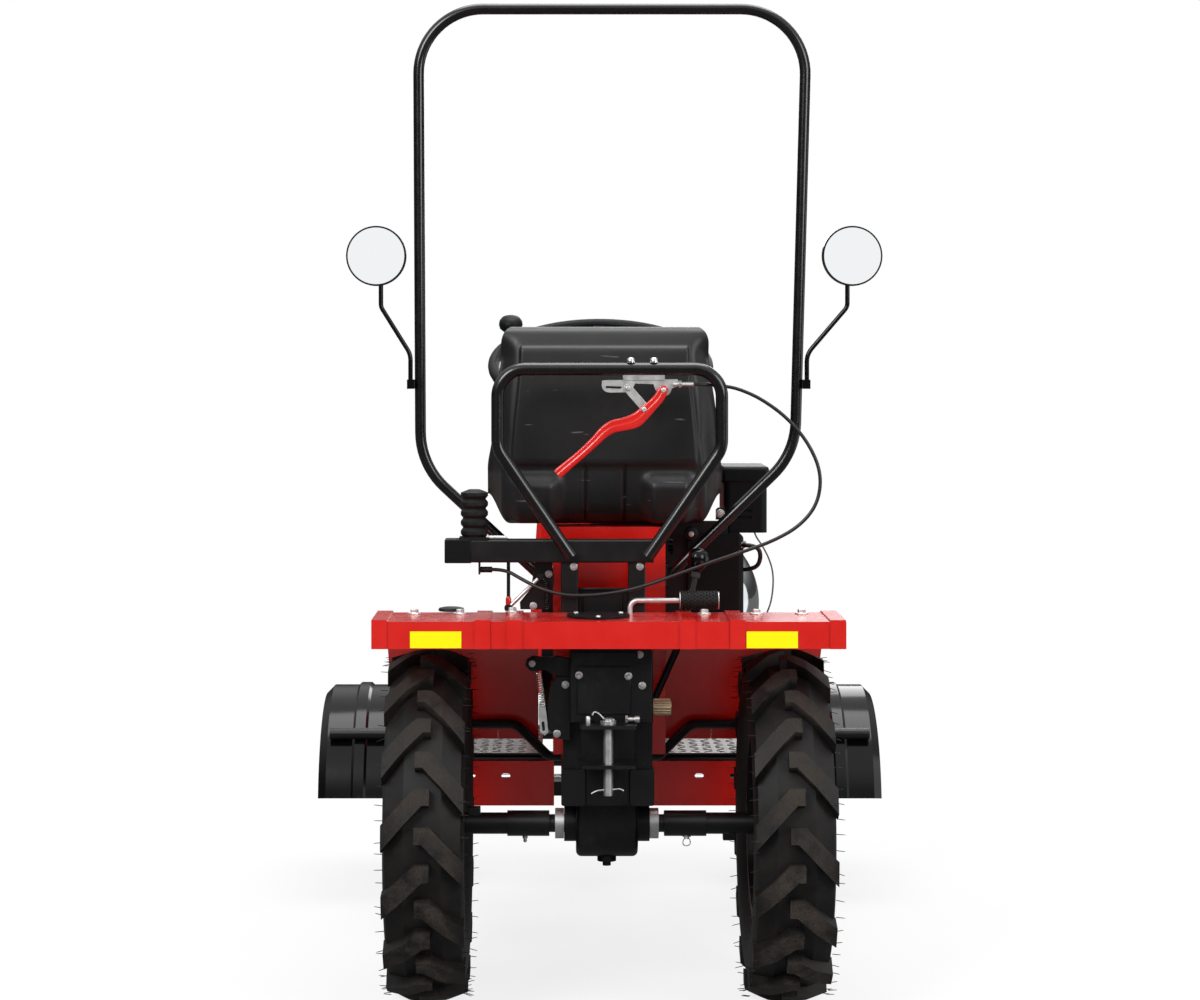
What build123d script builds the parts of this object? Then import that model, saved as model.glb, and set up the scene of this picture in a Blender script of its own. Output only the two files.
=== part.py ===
"""Mini tractor with a single-cylinder engine, a bucket seat, a roll hoop and two mirrors.

Millimetres. The tractor faces +Y and its right side is +X. The origin lies on the ground,
under the middle of its length and width.
"""
from build123d import *
from math import asin, cos, pi, radians, sin, sqrt, tan
import os

os.makedirs("parts", exist_ok=True)

# Driving dimensions
wheelbase = 1000.0
rear_tyre_radius = 294.0
rear_tyre_width = 132.0
rear_wheel_offset = 299.0
front_tyre_radius = 165.0
front_tyre_width = 125.0
front_wheel_offset = 370.0
front_overhang = 240.0
overall_width = 1120.0
deck_width = 768.0
deck_height = 655.0
hoop_height = 1696.0
hoop_tube = 19.0
rail_top = 400.0
rail_bottom = 340.0
seat_height = 791.0
touch_gap = 0.3
deck_sheet = 2.0
running_gap = 0.05
overrun = 2.0

overall_length = rear_tyre_radius + wheelbase + front_overhang
rear_axle_y = rear_tyre_radius - overall_length / 2
front_axle_y = rear_axle_y + wheelbase
sides = (("left", -1), ("right", 1))


def bar(x, y, z, corner=0.0):
    """A straight bar between pairs of limits, with its upright edges rounded."""
    plane = Plane.XY.offset(z[0])
    with BuildPart() as made:
        with BuildSketch(plane):
            with Locations(((x[0] + x[1]) / 2, (y[0] + y[1]) / 2)):
                if corner > 0:
                    RectangleRounded(x[1] - x[0], y[1] - y[0], corner)
                else:
                    Rectangle(x[1] - x[0], y[1] - y[0])
        extrude(amount=z[1] - z[0])
    return made.part


def tube_path(points, bends, diameter, wall=0.0):
    """A bent tube along straight runs joined by arcs, hollow where a wall is given."""
    with BuildPart() as made:
        with BuildLine() as route:
            FilletPolyline(*points, radius=bends)
        start = Plane(route.line @ 0, z_dir=route.line % 0)
        with BuildSketch(start):
            Circle(diameter / 2)
            if wall > 0:
                Circle(diameter / 2 - wall, mode=Mode.SUBTRACT)
        sweep()
    return made.part


def rod(start, end, diameter):
    """A straight round rod between two points."""
    line = Vector(*end) - Vector(*start)
    with BuildPart() as made:
        with BuildSketch(Plane(start, z_dir=line)):
            Circle(diameter / 2)
        extrude(amount=line.length)
    return made.part


def save(part, name):
    """Label a finished piece and write it."""
    part.label = name
    export_step(part, "parts/" + name + ".step")


# Main frame: two box rails joined by a front plate, with the saddle that carries the front axle
rail_outer = 77.0
rail_width = 40.0
rail_rear_reach = 100.0
rail_front_reach = 90.0
rail_corner = 4.0
saddle_plate = 8.0
saddle_half_width = 60.0
front_beam_height = 195.0
front_beam_size = 40.0
saddle_drop = 34.0
pivot_pin = 20.0
front_plate_thickness = 6.0
rail_rear = rear_axle_y - rail_rear_reach
rail_front = front_axle_y + rail_front_reach
rail_middle = rail_outer - rail_width / 2
saddle_inner = front_beam_size / 2 + touch_gap

with BuildPart() as main_frame:
    with BuildSketch(Plane.XZ.offset(-rail_rear)):
        with Locations(*[(side * rail_middle, (rail_top + rail_bottom) / 2) for name, side in sides]):
            RectangleRounded(rail_width, rail_top - rail_bottom, rail_corner)
    extrude(amount=-(rail_front - rail_rear))
    with BuildSketch(Plane.XZ.offset(-rail_front)):
        with Locations((0, (rail_top + rail_bottom) / 2)):
            Rectangle(2 * rail_outer, rail_top - rail_bottom)
    extrude(amount=-front_plate_thickness)
    saddle_faces = (front_axle_y - saddle_inner - saddle_plate, front_axle_y + saddle_inner)
    for face in saddle_faces:
        with BuildSketch(Plane.XZ.offset(-face)):
            with BuildLine():
                Polyline(
                    (-rail_outer, rail_bottom + overrun), (rail_outer, rail_bottom + overrun),
                    (rail_outer, rail_bottom - rail_corner),
                    (saddle_half_width / 2, front_beam_height - saddle_drop),
                    (-saddle_half_width / 2, front_beam_height - saddle_drop),
                    (-rail_outer, rail_bottom - rail_corner), close=True)
            make_face()
        extrude(amount=-saddle_plate)
    with BuildSketch(Plane.XZ.offset(-saddle_faces[0])):
        with Locations((0, front_beam_height)):
            Circle(pivot_pin / 2)
    extrude(amount=-(saddle_faces[1] + saddle_plate - saddle_faces[0]))

# Front axle beam: a square tube with an upright boss for the kingpin at each end
kingpin_offset = 270.0
kingpin = 16.0
boss_diameter = 38.0
boss_height = 54.0
beam_corner = 4.0
boss_bottom = front_beam_height - boss_height / 2
boss_top = front_beam_height + boss_height / 2

with BuildPart() as front_axle_beam:
    with BuildSketch(Plane.YZ.offset(-kingpin_offset)):
        with Locations((front_axle_y, front_beam_height)):
            RectangleRounded(front_beam_size, front_beam_size, beam_corner)
    extrude(amount=2 * kingpin_offset)
    with BuildSketch(Plane.XY.offset(boss_bottom)):
        with Locations(*[(side * kingpin_offset, front_axle_y) for name, side in sides]):
            Circle(boss_diameter / 2)
    extrude(amount=boss_height)
    with BuildSketch(Plane.XY.offset(boss_bottom)):
        with Locations(*[(side * kingpin_offset, front_axle_y) for name, side in sides]):
            Circle(kingpin / 2 + running_gap)
    extrude(amount=boss_height, mode=Mode.SUBTRACT)
    with BuildSketch(Plane.XZ.offset(-front_axle_y - front_beam_size)):
        with Locations((0, front_beam_height)):
            Circle(pivot_pin / 2 + running_gap)
    extrude(amount=2 * front_beam_size, mode=Mode.SUBTRACT)
save(front_axle_beam.part, "front_axle_beam")

# Steering knuckles: a fork round the boss, the kingpin, a stub axle and an arm that points back
fork_plate = 10.0
fork_gap = 1.0
fork_web = 12.0
fork_half = 22.0
stub_diameter = 20.0
stub_reach = 52.0
arm_length = 95.0
arm_width = 26.0
arm_thickness = 9.0
link_pin = 10.0
link_height = 224.0
link_thickness = 10.0
link_washer = 8.0
fork_bottom = boss_bottom - fork_gap - fork_plate
fork_top = boss_top + fork_gap + fork_plate
web_inner = kingpin_offset + boss_diameter / 2 + fork_gap
web_outer = web_inner + fork_web
arm_bottom = link_height + link_washer
stub_end = front_wheel_offset + stub_reach
rod_line_y = front_axle_y - arm_length

for name, side in sides:
    with BuildPart() as knuckle:
        fork_span = sorted((side * (kingpin_offset - fork_half), side * web_outer))
        web_span = sorted((side * web_inner, side * web_outer))
        for low in (fork_bottom, fork_top - fork_plate):
            with BuildSketch(Plane.XY.offset(low)):
                with Locations((sum(fork_span) / 2, front_axle_y)):
                    RectangleRounded(fork_span[1] - fork_span[0], 2 * fork_half, fork_plate / 2)
            extrude(amount=fork_plate)
        with BuildSketch(Plane.XY.offset(fork_bottom)):
            with Locations((sum(web_span) / 2, front_axle_y)):
                Rectangle(web_span[1] - web_span[0], 2 * fork_half - fork_plate)
        extrude(amount=fork_top - fork_bottom)
        with BuildSketch(Plane.XY.offset(fork_bottom)):
            with Locations((side * kingpin_offset, front_axle_y)):
                Circle(kingpin / 2)
        extrude(amount=fork_top - fork_bottom)
        with BuildSketch(Plane.YZ.offset(side * web_inner)):
            with Locations((front_axle_y, front_tyre_radius)):
                Circle(stub_diameter / 2)
        extrude(amount=side * (stub_end - web_inner))
        with BuildSketch(Plane.XY.offset(arm_bottom)):
            with BuildLine():
                Polyline(
                    (side * kingpin_offset - arm_width / 2, front_axle_y),
                    (side * kingpin_offset + arm_width / 2, front_axle_y),
                    (side * kingpin_offset + arm_width / 2, rod_line_y),
                    (side * kingpin_offset - arm_width / 2, rod_line_y), close=True)
            make_face()
            with Locations((side * kingpin_offset, rod_line_y)):
                Circle(arm_width / 2)
        extrude(amount=arm_thickness)
        with BuildSketch(Plane.XY.offset(link_height - link_thickness)):
            with Locations((side * kingpin_offset, rod_line_y)):
                Circle(link_pin / 2)
        extrude(amount=arm_bottom - link_height + link_thickness)
    save(knuckle.part, "knuckle_" + name)

# Pitman arm on the steering box's shaft, as long as the knuckles' arms and parallel to them
pitman_setback = 62.0
pitman_shaft = 22.0
pitman_insert = 25.0
pitman_y = front_axle_y - pitman_setback
pitman_end_y = pitman_y - arm_length
pitman_lift = 8.0
pitman_bottom = arm_bottom + pitman_lift

with BuildPart() as pitman_arm:
    with BuildSketch(Plane.XY.offset(pitman_bottom)):
        with Locations((0, pitman_y)):
            Circle(arm_width / 2)
        with Locations((0, (pitman_y + pitman_end_y) / 2)):
            Rectangle(arm_width, arm_length)
        with Locations((0, pitman_end_y)):
            Circle(arm_width / 2)
    extrude(amount=arm_thickness)
    with BuildSketch(Plane.XY.offset(pitman_bottom)):
        with Locations((0, pitman_y)):
            Circle(pitman_shaft / 2)
    extrude(amount=rail_top + pitman_insert - pitman_bottom)
    with BuildSketch(Plane.XY.offset(link_height - link_thickness)):
        with Locations((0, pitman_end_y)):
            Circle(link_pin / 2)
    extrude(amount=pitman_bottom - link_height + link_thickness)
save(pitman_arm.part, "pitman_arm")

# Tie rod: a round rod between two eyes, with a flat lug back to the pitman arm's pin
tie_rod_diameter = 14.0
eye_diameter = 26.0
lug_width = 26.0

with BuildPart() as tie_rod:
    with BuildSketch(Plane.YZ.offset(-kingpin_offset)):
        with Locations((rod_line_y, link_height)):
            Circle(tie_rod_diameter / 2)
    extrude(amount=2 * kingpin_offset)
    with BuildSketch(Plane.XY.offset(link_height - link_thickness / 2)):
        with Locations(*[(side * kingpin_offset, rod_line_y) for name, side in sides]):
            Circle(eye_diameter / 2)
        with Locations((0, (rod_line_y + pitman_end_y) / 2)):
            Rectangle(lug_width, rod_line_y - pitman_end_y)
        with Locations((0, pitman_end_y)):
            Circle(eye_diameter / 2)
    extrude(amount=link_thickness)
    pin_places = [(side * kingpin_offset, rod_line_y) for name, side in sides] + [(0, pitman_end_y)]
    with BuildSketch(Plane.XY.offset(link_height - link_thickness)):
        with Locations(*pin_places):
            Circle(link_pin / 2 + running_gap)
    extrude(amount=2 * link_thickness, mode=Mode.SUBTRACT)
save(tie_rod.part, "tie_rod")

# Front wheels: a pressed rim on a hub, and a three-rib tyre
front_rim_radius = 76.0
front_rim_lip = 6.0
front_rim_width = 96.0
front_disc = 5.0
front_hub_radius = 24.0
front_hub_length = 84.0
rib_depth = 7.0
rib_width_share = 0.2
groove_width_share = 0.1
tyre_seat_gap = 0.05

for name, side in sides:
    wheel_x = side * front_wheel_offset
    rim_half = front_rim_width / 2
    with BuildPart() as front_rim:
        with BuildSketch(Plane.XY.offset(front_tyre_radius)):
            with BuildLine():
                Polyline(
                    (wheel_x - rim_half, front_axle_y + front_rim_radius + front_rim_lip),
                    (wheel_x - rim_half, front_axle_y + front_rim_radius - front_disc),
                    (wheel_x - front_disc / 2, front_axle_y + front_rim_radius - 2 * front_disc),
                    (wheel_x - front_disc / 2, front_axle_y + front_hub_radius),
                    (wheel_x - front_hub_length / 2, front_axle_y + front_hub_radius),
                    (wheel_x - front_hub_length / 2, front_axle_y + stub_diameter / 2 + running_gap),
                    (wheel_x + front_hub_length / 2, front_axle_y + stub_diameter / 2 + running_gap),
                    (wheel_x + front_hub_length / 2, front_axle_y + front_hub_radius),
                    (wheel_x + front_disc / 2, front_axle_y + front_hub_radius),
                    (wheel_x + front_disc / 2, front_axle_y + front_rim_radius - 2 * front_disc),
                    (wheel_x + rim_half, front_axle_y + front_rim_radius - front_disc),
                    (wheel_x + rim_half, front_axle_y + front_rim_radius + front_rim_lip),
                    (wheel_x + rim_half - front_disc, front_axle_y + front_rim_radius + front_rim_lip),
                    (wheel_x + rim_half - front_disc, front_axle_y + front_rim_radius),
                    (wheel_x - rim_half + front_disc, front_axle_y + front_rim_radius),
                    (wheel_x - rim_half + front_disc, front_axle_y + front_rim_radius + front_rim_lip),
                    close=True)
            make_face()
        revolve(axis=Axis((0, front_axle_y, front_tyre_radius), (1, 0, 0)))
    save(front_rim.part, "front_rim_" + name)
    tread_radius = front_tyre_radius - rib_depth
    bead = rim_half - front_disc - tyre_seat_gap
    half = front_tyre_width / 2
    base_radius = front_rim_radius + tyre_seat_gap
    lip_top = base_radius + front_rim_lip
    with BuildPart() as front_tyre:
        with BuildSketch(Plane.XY.offset(front_tyre_radius)):
            with BuildLine():
                Polyline(
                    (wheel_x - bead, front_axle_y + lip_top), (wheel_x - bead, front_axle_y + base_radius),
                    (wheel_x + bead, front_axle_y + base_radius), (wheel_x + bead, front_axle_y + lip_top))
                ThreePointArc(
                    (wheel_x + bead, front_axle_y + lip_top),
                    (wheel_x + half, front_axle_y + (lip_top + tread_radius) / 2),
                    (wheel_x + bead, front_axle_y + tread_radius))
                Line((wheel_x + bead, front_axle_y + tread_radius), (wheel_x - bead, front_axle_y + tread_radius))
                ThreePointArc(
                    (wheel_x - bead, front_axle_y + tread_radius),
                    (wheel_x - half, front_axle_y + (lip_top + tread_radius) / 2),
                    (wheel_x - bead, front_axle_y + lip_top))
            make_face()
            pitch = front_tyre_width * (rib_width_share + groove_width_share)
            with Locations(*[(wheel_x + step * pitch, front_axle_y + front_tyre_radius - rib_depth)
                             for step in (-1, 0, 1)]):
                Rectangle(front_tyre_width * rib_width_share, 2 * rib_depth)
        revolve(axis=Axis((0, front_axle_y, front_tyre_radius), (1, 0, 0)))
    save(front_tyre.part, "front_tyre_" + name)

# Rear wheels: a sleeve hub on the half shaft, a pressed rim and a tyre with chevron lugs
half_shaft = 30.0
half_shaft_insert = 60.0
sleeve_start = 97.0
sleeve_thick = 43.0
sleeve_thin = 36.0
sleeve_step = 168.0
hub_flange_radius = 66.0
hub_flange = 8.0
rear_rim_radius = 152.0
rear_rim_lip = 12.0
rear_rim_width = 104.0
rear_rim_wall = 5.0
disc_outset = 12.0
hub_cap_radius = 30.0
hub_cap_height = 14.0
stud_circle = 50.0
stud_count = 5
stud_radius = 10.0
stud_height = 10.0
well_depth = 14.0
lug_count = 15
lug_height = 21.0
lug_inner_reach = 12.0
lug_inner_width = 27.0
lug_outer_width = 40.0
lug_rise = 62.0
shoulder_drop = 16.0
crown_drop = 3.0
tread_half_share = 0.46
carcass_half_share = 0.5

for name, side in sides:
    wheel_x = side * rear_wheel_offset
    disc_x = wheel_x + side * disc_outset
    axis_line = Axis((0, rear_axle_y, rear_tyre_radius), (1, 0, 0))
    with BuildPart() as rear_hub:
        hub_steps = (
            (sleeve_start - half_shaft_insert, half_shaft),
            (sleeve_start, sleeve_thick),
            (sleeve_step, sleeve_thin),
            (abs(disc_x) - hub_flange, 2 * hub_flange_radius),
            (abs(disc_x), None),
        )
        for (start, size), (stop, after) in zip(hub_steps, hub_steps[1:]):
            with BuildSketch(Plane.YZ.offset(side * start)):
                with Locations((rear_axle_y, rear_tyre_radius)):
                    Circle(size / 2)
            extrude(amount=side * (stop - start))

    rim_half = rear_rim_width / 2
    with BuildPart() as rear_rim:
        with BuildSketch(Plane.XY.offset(rear_tyre_radius)):
            with BuildLine():
                Polyline(
                    (wheel_x - rim_half, rear_axle_y + rear_rim_radius + rear_rim_lip),
                    (wheel_x - rim_half, rear_axle_y + rear_rim_radius - rear_rim_wall),
                    (wheel_x - rim_half / 2, rear_axle_y + rear_rim_radius - rear_rim_wall),
                    (wheel_x - rim_half / 2, rear_axle_y + rear_rim_radius - well_depth - rear_rim_wall),
                    (wheel_x + rim_half / 2, rear_axle_y + rear_rim_radius - well_depth - rear_rim_wall),
                    (wheel_x + rim_half / 2, rear_axle_y + rear_rim_radius - rear_rim_wall),
                    (wheel_x + rim_half, rear_axle_y + rear_rim_radius - rear_rim_wall),
                    (wheel_x + rim_half, rear_axle_y + rear_rim_radius + rear_rim_lip),
                    (wheel_x + rim_half - rear_rim_wall, rear_axle_y + rear_rim_radius + rear_rim_lip),
                    (wheel_x + rim_half - rear_rim_wall, rear_axle_y + rear_rim_radius),
                    (wheel_x + rim_half / 2 - rear_rim_wall, rear_axle_y + rear_rim_radius),
                    (wheel_x + rim_half / 2 - rear_rim_wall, rear_axle_y + rear_rim_radius - well_depth),
                    (wheel_x - rim_half / 2 + rear_rim_wall, rear_axle_y + rear_rim_radius - well_depth),
                    (wheel_x - rim_half / 2 + rear_rim_wall, rear_axle_y + rear_rim_radius),
                    (wheel_x - rim_half + rear_rim_wall, rear_axle_y + rear_rim_radius),
                    (wheel_x - rim_half + rear_rim_wall, rear_axle_y + rear_rim_radius + rear_rim_lip),
                    close=True)
            make_face()
        revolve(axis=axis_line)
        with BuildSketch(Plane.YZ.offset(disc_x)):
            with Locations((rear_axle_y, rear_tyre_radius)):
                Circle(rear_rim_radius - well_depth - rear_rim_wall / 2)
        extrude(amount=side * rear_rim_wall)
        with BuildSketch(Plane.YZ.offset(disc_x)):
            with Locations((rear_axle_y, rear_tyre_radius)):
                Circle(hub_cap_radius)
        extrude(amount=side * (rear_rim_wall + hub_cap_height))
        with BuildSketch(Plane.YZ.offset(disc_x)):
            with Locations((rear_axle_y, rear_tyre_radius)):
                with PolarLocations(stud_circle, stud_count):
                    RegularPolygon(stud_radius, 6)
        extrude(amount=side * (rear_rim_wall + stud_height))
        add(rear_hub.part)
    save(rear_rim.part, "rear_wheel_" + name)

    bead = rim_half - rear_rim_wall - tyre_seat_gap
    base_radius = rear_rim_radius + tyre_seat_gap
    lip_top = base_radius + rear_rim_lip
    half = rear_tyre_width * carcass_half_share
    carcass_radius = rear_tyre_radius - lug_height
    tread_half = rear_tyre_width * tread_half_share
    with BuildPart() as carcass:
        with BuildSketch(Plane.XY.offset(rear_tyre_radius)):
            with BuildLine():
                Polyline(
                    (wheel_x + bead, rear_axle_y + lip_top), (wheel_x + bead, rear_axle_y + base_radius),
                    (wheel_x - bead, rear_axle_y + base_radius), (wheel_x - bead, rear_axle_y + lip_top))
                ThreePointArc(
                    (wheel_x - bead, rear_axle_y + lip_top),
                    (wheel_x - half, rear_axle_y + (lip_top + carcass_radius) / 2),
                    (wheel_x - tread_half, rear_axle_y + carcass_radius - shoulder_drop))
                Polyline((wheel_x - tread_half, rear_axle_y + carcass_radius - shoulder_drop),
                         (wheel_x - tread_half / 2, rear_axle_y + carcass_radius),
                         (wheel_x + tread_half / 2, rear_axle_y + carcass_radius),
                         (wheel_x + tread_half, rear_axle_y + carcass_radius - shoulder_drop))
                ThreePointArc(
                    (wheel_x + tread_half, rear_axle_y + carcass_radius - shoulder_drop),
                    (wheel_x + half, rear_axle_y + (lip_top + carcass_radius) / 2),
                    (wheel_x + bead, rear_axle_y + lip_top))
            make_face()
        revolve(axis=axis_line)
    with BuildPart() as tread_envelope:
        with BuildSketch(Plane.XY.offset(rear_tyre_radius)):
            with BuildLine():
                Polyline(
                    (wheel_x - half, rear_axle_y + carcass_radius - 2 * shoulder_drop),
                    (wheel_x - half, rear_axle_y + rear_tyre_radius - shoulder_drop),
                    (wheel_x - tread_half / 2, rear_axle_y + rear_tyre_radius - crown_drop),
                    (wheel_x, rear_axle_y + rear_tyre_radius),
                    (wheel_x + tread_half / 2, rear_axle_y + rear_tyre_radius - crown_drop),
                    (wheel_x + half, rear_axle_y + rear_tyre_radius - shoulder_drop),
                    (wheel_x + half, rear_axle_y + carcass_radius - 2 * shoulder_drop),
                    close=True)
            make_face()
        revolve(axis=axis_line)
    with BuildPart() as lug_ring:
        for hand, turn_share in ((-1, 0.0), (1, 0.5)):
            for step in range(lug_count):
                turn = 360.0 * (step + turn_share) / lug_count
                spin = Plane.XY.rotated((turn, 0, 0))
                spin = Plane((wheel_x, rear_axle_y, rear_tyre_radius), x_dir=(1, 0, 0), z_dir=spin.z_dir)
                with BuildSketch(spin.offset(carcass_radius - 2 * shoulder_drop)):
                    with BuildLine():
                        Polyline(
                            (-hand * lug_inner_reach, lug_inner_width / 2),
                            (-hand * lug_inner_reach, -lug_inner_width / 2),
                            (0, -lug_inner_width / 2),
                            (hand * half, -lug_rise - lug_outer_width / 2),
                            (hand * half, -lug_rise + lug_outer_width / 2),
                            (hand * lug_inner_reach, lug_inner_width / 2), close=True)
                    make_face()
                extrude(amount=2 * shoulder_drop + 2 * lug_height)
    with BuildPart() as rear_tyre:
        add(lug_ring.part)
        add(tread_envelope.part, mode=Mode.INTERSECT)
        add(carcass.part)
    save(rear_tyre.part, "rear_tyre_" + name)

# Final drive: the drop case round the axle, with a collar at each half shaft and a drain plug
drive_radius = 55.0
drive_half = 52.0
drive_body_half = 72.0
drive_neck_radius = 30.0
drive_top = rail_bottom - touch_gap
collar_thickness = 15.0
collar_radius = 25.5
drain_radius = 16.0
drain_drop = 16.0
drain_nut_radius = 7.0
drive_front_reach = 60.0
drive_rear_reach = 62.0

with BuildPart() as final_drive:
    with BuildSketch(Plane.YZ.offset(-drive_half)):
        with Locations((rear_axle_y, rear_tyre_radius)):
            Circle(drive_radius)
        with Locations((rear_axle_y, (rear_tyre_radius + drive_top) / 2)):
            Rectangle(2 * drive_radius, drive_top - rear_tyre_radius)
        with Locations((rear_axle_y, drive_top + drive_radius)):
            Rectangle(2 * drive_radius, 2 * drive_radius, mode=Mode.SUBTRACT)
    extrude(amount=2 * drive_half)
    fillet(final_drive.edges().filter_by(Axis.X, reverse=True).group_by(Axis.Z)[0], drive_radius / 6)
    with BuildSketch(Plane.YZ.offset(-drive_body_half)):
        with Locations((rear_axle_y, rear_tyre_radius)):
            Circle(drive_neck_radius)
    extrude(amount=2 * drive_body_half)
    with BuildSketch(Plane.XY.offset(rear_tyre_radius - drive_radius - drain_drop / 2)):
        with Locations((0, rear_axle_y)):
            Circle(drain_radius)
    extrude(amount=drain_drop)
    with BuildSketch(Plane.XY.offset(rear_tyre_radius - drive_radius - drain_drop)):
        with Locations((0, rear_axle_y)):
            Circle(drain_nut_radius)
    extrude(amount=drain_drop)
    with BuildSketch(Plane.YZ.offset(-drive_body_half - overrun)):
        with Locations((rear_axle_y, rear_tyre_radius)):
            Circle(half_shaft / 2 + running_gap)
    extrude(amount=2 * (drive_body_half + overrun), mode=Mode.SUBTRACT)
save(final_drive.part, "final_drive")

with BuildPart() as shaft_collars:
    for name, side in sides:
        with BuildSketch(Plane.YZ.offset(side * (drive_body_half + touch_gap))):
            with Locations((rear_axle_y, rear_tyre_radius)):
                Circle(collar_radius)
                Circle(half_shaft / 2 + running_gap, mode=Mode.SUBTRACT)
        extrude(amount=side * collar_thickness)
save(shaft_collars.part, "shaft_collars")

# Transmission: the lower box between the rails, the wider gear case above it and a saddle under the deck
case_left = -63.0
case_right = 74.0
case_bottom = 483.0
case_top = 601.0
case_rear_reach = 130.0
case_rear = rear_axle_y - case_rear_reach
case_front_reach = 60.0
case_front = rear_axle_y + case_front_reach
box_rear_reach = 96.0
box_half = 36.0
flange_half = 74.0
saddle_half = 52.0
saddle_sheet = 5.0
saddle_rear_reach = 122.0
saddle_rear = rear_axle_y - saddle_rear_reach
saddle_front_reach = 66.0
saddle_front = rear_axle_y - saddle_front_reach
saddle_top = deck_height - deck_sheet - touch_gap

transmission_box = bar(
    (-box_half, box_half), (rear_axle_y - box_rear_reach, case_front), (drive_top + touch_gap, case_bottom))
with BuildPart() as transmission_case:
    add(transmission_box)
    with BuildSketch(Plane.XY.offset(rail_top + touch_gap)):
        with Locations((0, (rear_axle_y - box_rear_reach + case_front) / 2)):
            Rectangle(2 * flange_half, case_front - rear_axle_y + box_rear_reach)
    extrude(amount=case_bottom - rail_top)
    with BuildSketch(Plane.XY.offset(case_bottom)):
        with Locations(((case_left + case_right) / 2, (case_rear + case_front) / 2)):
            RectangleRounded(case_right - case_left, case_front - case_rear, rail_corner)
    extrude(amount=case_top - case_bottom)
    with BuildSketch(Plane.XZ.offset(-saddle_rear)):
        with BuildLine():
            low = case_top - saddle_sheet
            Polyline(
                (-saddle_half, low), (-saddle_half, saddle_top), (saddle_half, saddle_top), (saddle_half, low),
                (saddle_half - saddle_sheet, low), (saddle_half - saddle_sheet, saddle_top - saddle_sheet),
                (-saddle_half + saddle_sheet, saddle_top - saddle_sheet), (-saddle_half + saddle_sheet, low),
                close=True)
        make_face()
    extrude(amount=-(saddle_front - saddle_rear))
save(transmission_case.part, "transmission_case")

# Power take-off stub: a splined shaft end on the right of the gear case
pto_height = 500.0
pto_radius = 13.0
pto_reach = 32.0
pto_setback = 70.0
pto_y = rear_axle_y - pto_setback
spline_count = 6
spline_width = 3.0
spline_depth = 2.5

with BuildPart() as pto_stub:
    with BuildSketch(Plane.YZ.offset(case_right)):
        with Locations((pto_y, pto_height)):
            Circle(pto_radius)
        with Locations((pto_y, pto_height)):
            with PolarLocations(pto_radius, spline_count):
                Rectangle(2 * spline_depth, spline_width, mode=Mode.SUBTRACT)
    extrude(amount=pto_reach)
save(pto_stub.part, "pto_stub")

# Hitch: two plates behind the gear case with an upright pin through them
hitch_half = 47.0
hitch_plate = 6.0
hitch_reach = 76.0
hitch_upper = case_bottom - touch_gap
hitch_lower = 418.0
hitch_pin_diameter = 16.0
hitch_pin_top = 492.0
hitch_pin_bottom = 366.0
hitch_pin_inset = 22.0
hitch_face = rear_axle_y - box_rear_reach - touch_gap
hitch_pin_y = hitch_face - hitch_reach + hitch_pin_inset
hitch_web = 8.0

with BuildPart() as hitch_clevis:
    for level in (hitch_upper, hitch_lower):
        with BuildSketch(Plane.XY.offset(level - hitch_plate)):
            with Locations((0, hitch_face - hitch_reach / 2)):
                RectangleRounded(2 * hitch_half, hitch_reach, hitch_plate)
        extrude(amount=hitch_plate)
    with BuildSketch(Plane.XY.offset(hitch_lower - hitch_plate)):
        with Locations((0, hitch_face - hitch_web / 2)):
            Rectangle(2 * hitch_half - hitch_plate, hitch_web)
    extrude(amount=hitch_upper - hitch_lower + hitch_plate)
    with BuildSketch(Plane.XY.offset(hitch_lower - 2 * hitch_plate)):
        with Locations((0, hitch_pin_y)):
            Circle(hitch_pin_diameter / 2 + running_gap)
    extrude(amount=hitch_upper - hitch_lower + 3 * hitch_plate, mode=Mode.SUBTRACT)
save(hitch_clevis.part, "hitch_clevis")

pin_head_radius = 13.0
pin_head = 5.0
with BuildPart() as hitch_pin:
    with BuildSketch(Plane.XY.offset(hitch_pin_bottom)):
        with Locations((0, hitch_pin_y)):
            Circle(hitch_pin_diameter / 2)
    extrude(amount=hitch_pin_top - hitch_pin_bottom)
    with BuildSketch(Plane.XY.offset(hitch_upper + touch_gap)):
        with Locations((0, hitch_pin_y)):
            Circle(pin_head_radius)
    extrude(amount=pin_head)
save(hitch_pin.part, "hitch_pin")

# Rear deck: three folded sheets that run over the wheels and down in front of them
deck_rear_reach = 200.0
deck_shelf_reach = 45.0
deck_flange = 44.0
guard_radius = 345.0
guard_start = 20.0
guard_stop = 74.0
seam_left = -191.0
seam_right = 195.0
seam_gap = 0.4
opening_left = -97.0
opening_right = 108.0
opening_front = 170.0
throat_left = -118.0
throat_right = 86.0
lever_slot_x = 134.0
lever_slot_y = 40.0
lever_slot_width = 44.0
lever_slot_length = 70.0
pedal_hole = 16.0
pedal_x = 38.0
pedal_setback = 48.0
deck_rib = 3.0
deck_rib_width = 26.0
deck_rib_inset = 80.0
deck_rib_gap = 1.0
deck_rear = rear_axle_y - deck_rear_reach
shelf_front = rear_axle_y - deck_shelf_reach


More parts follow.
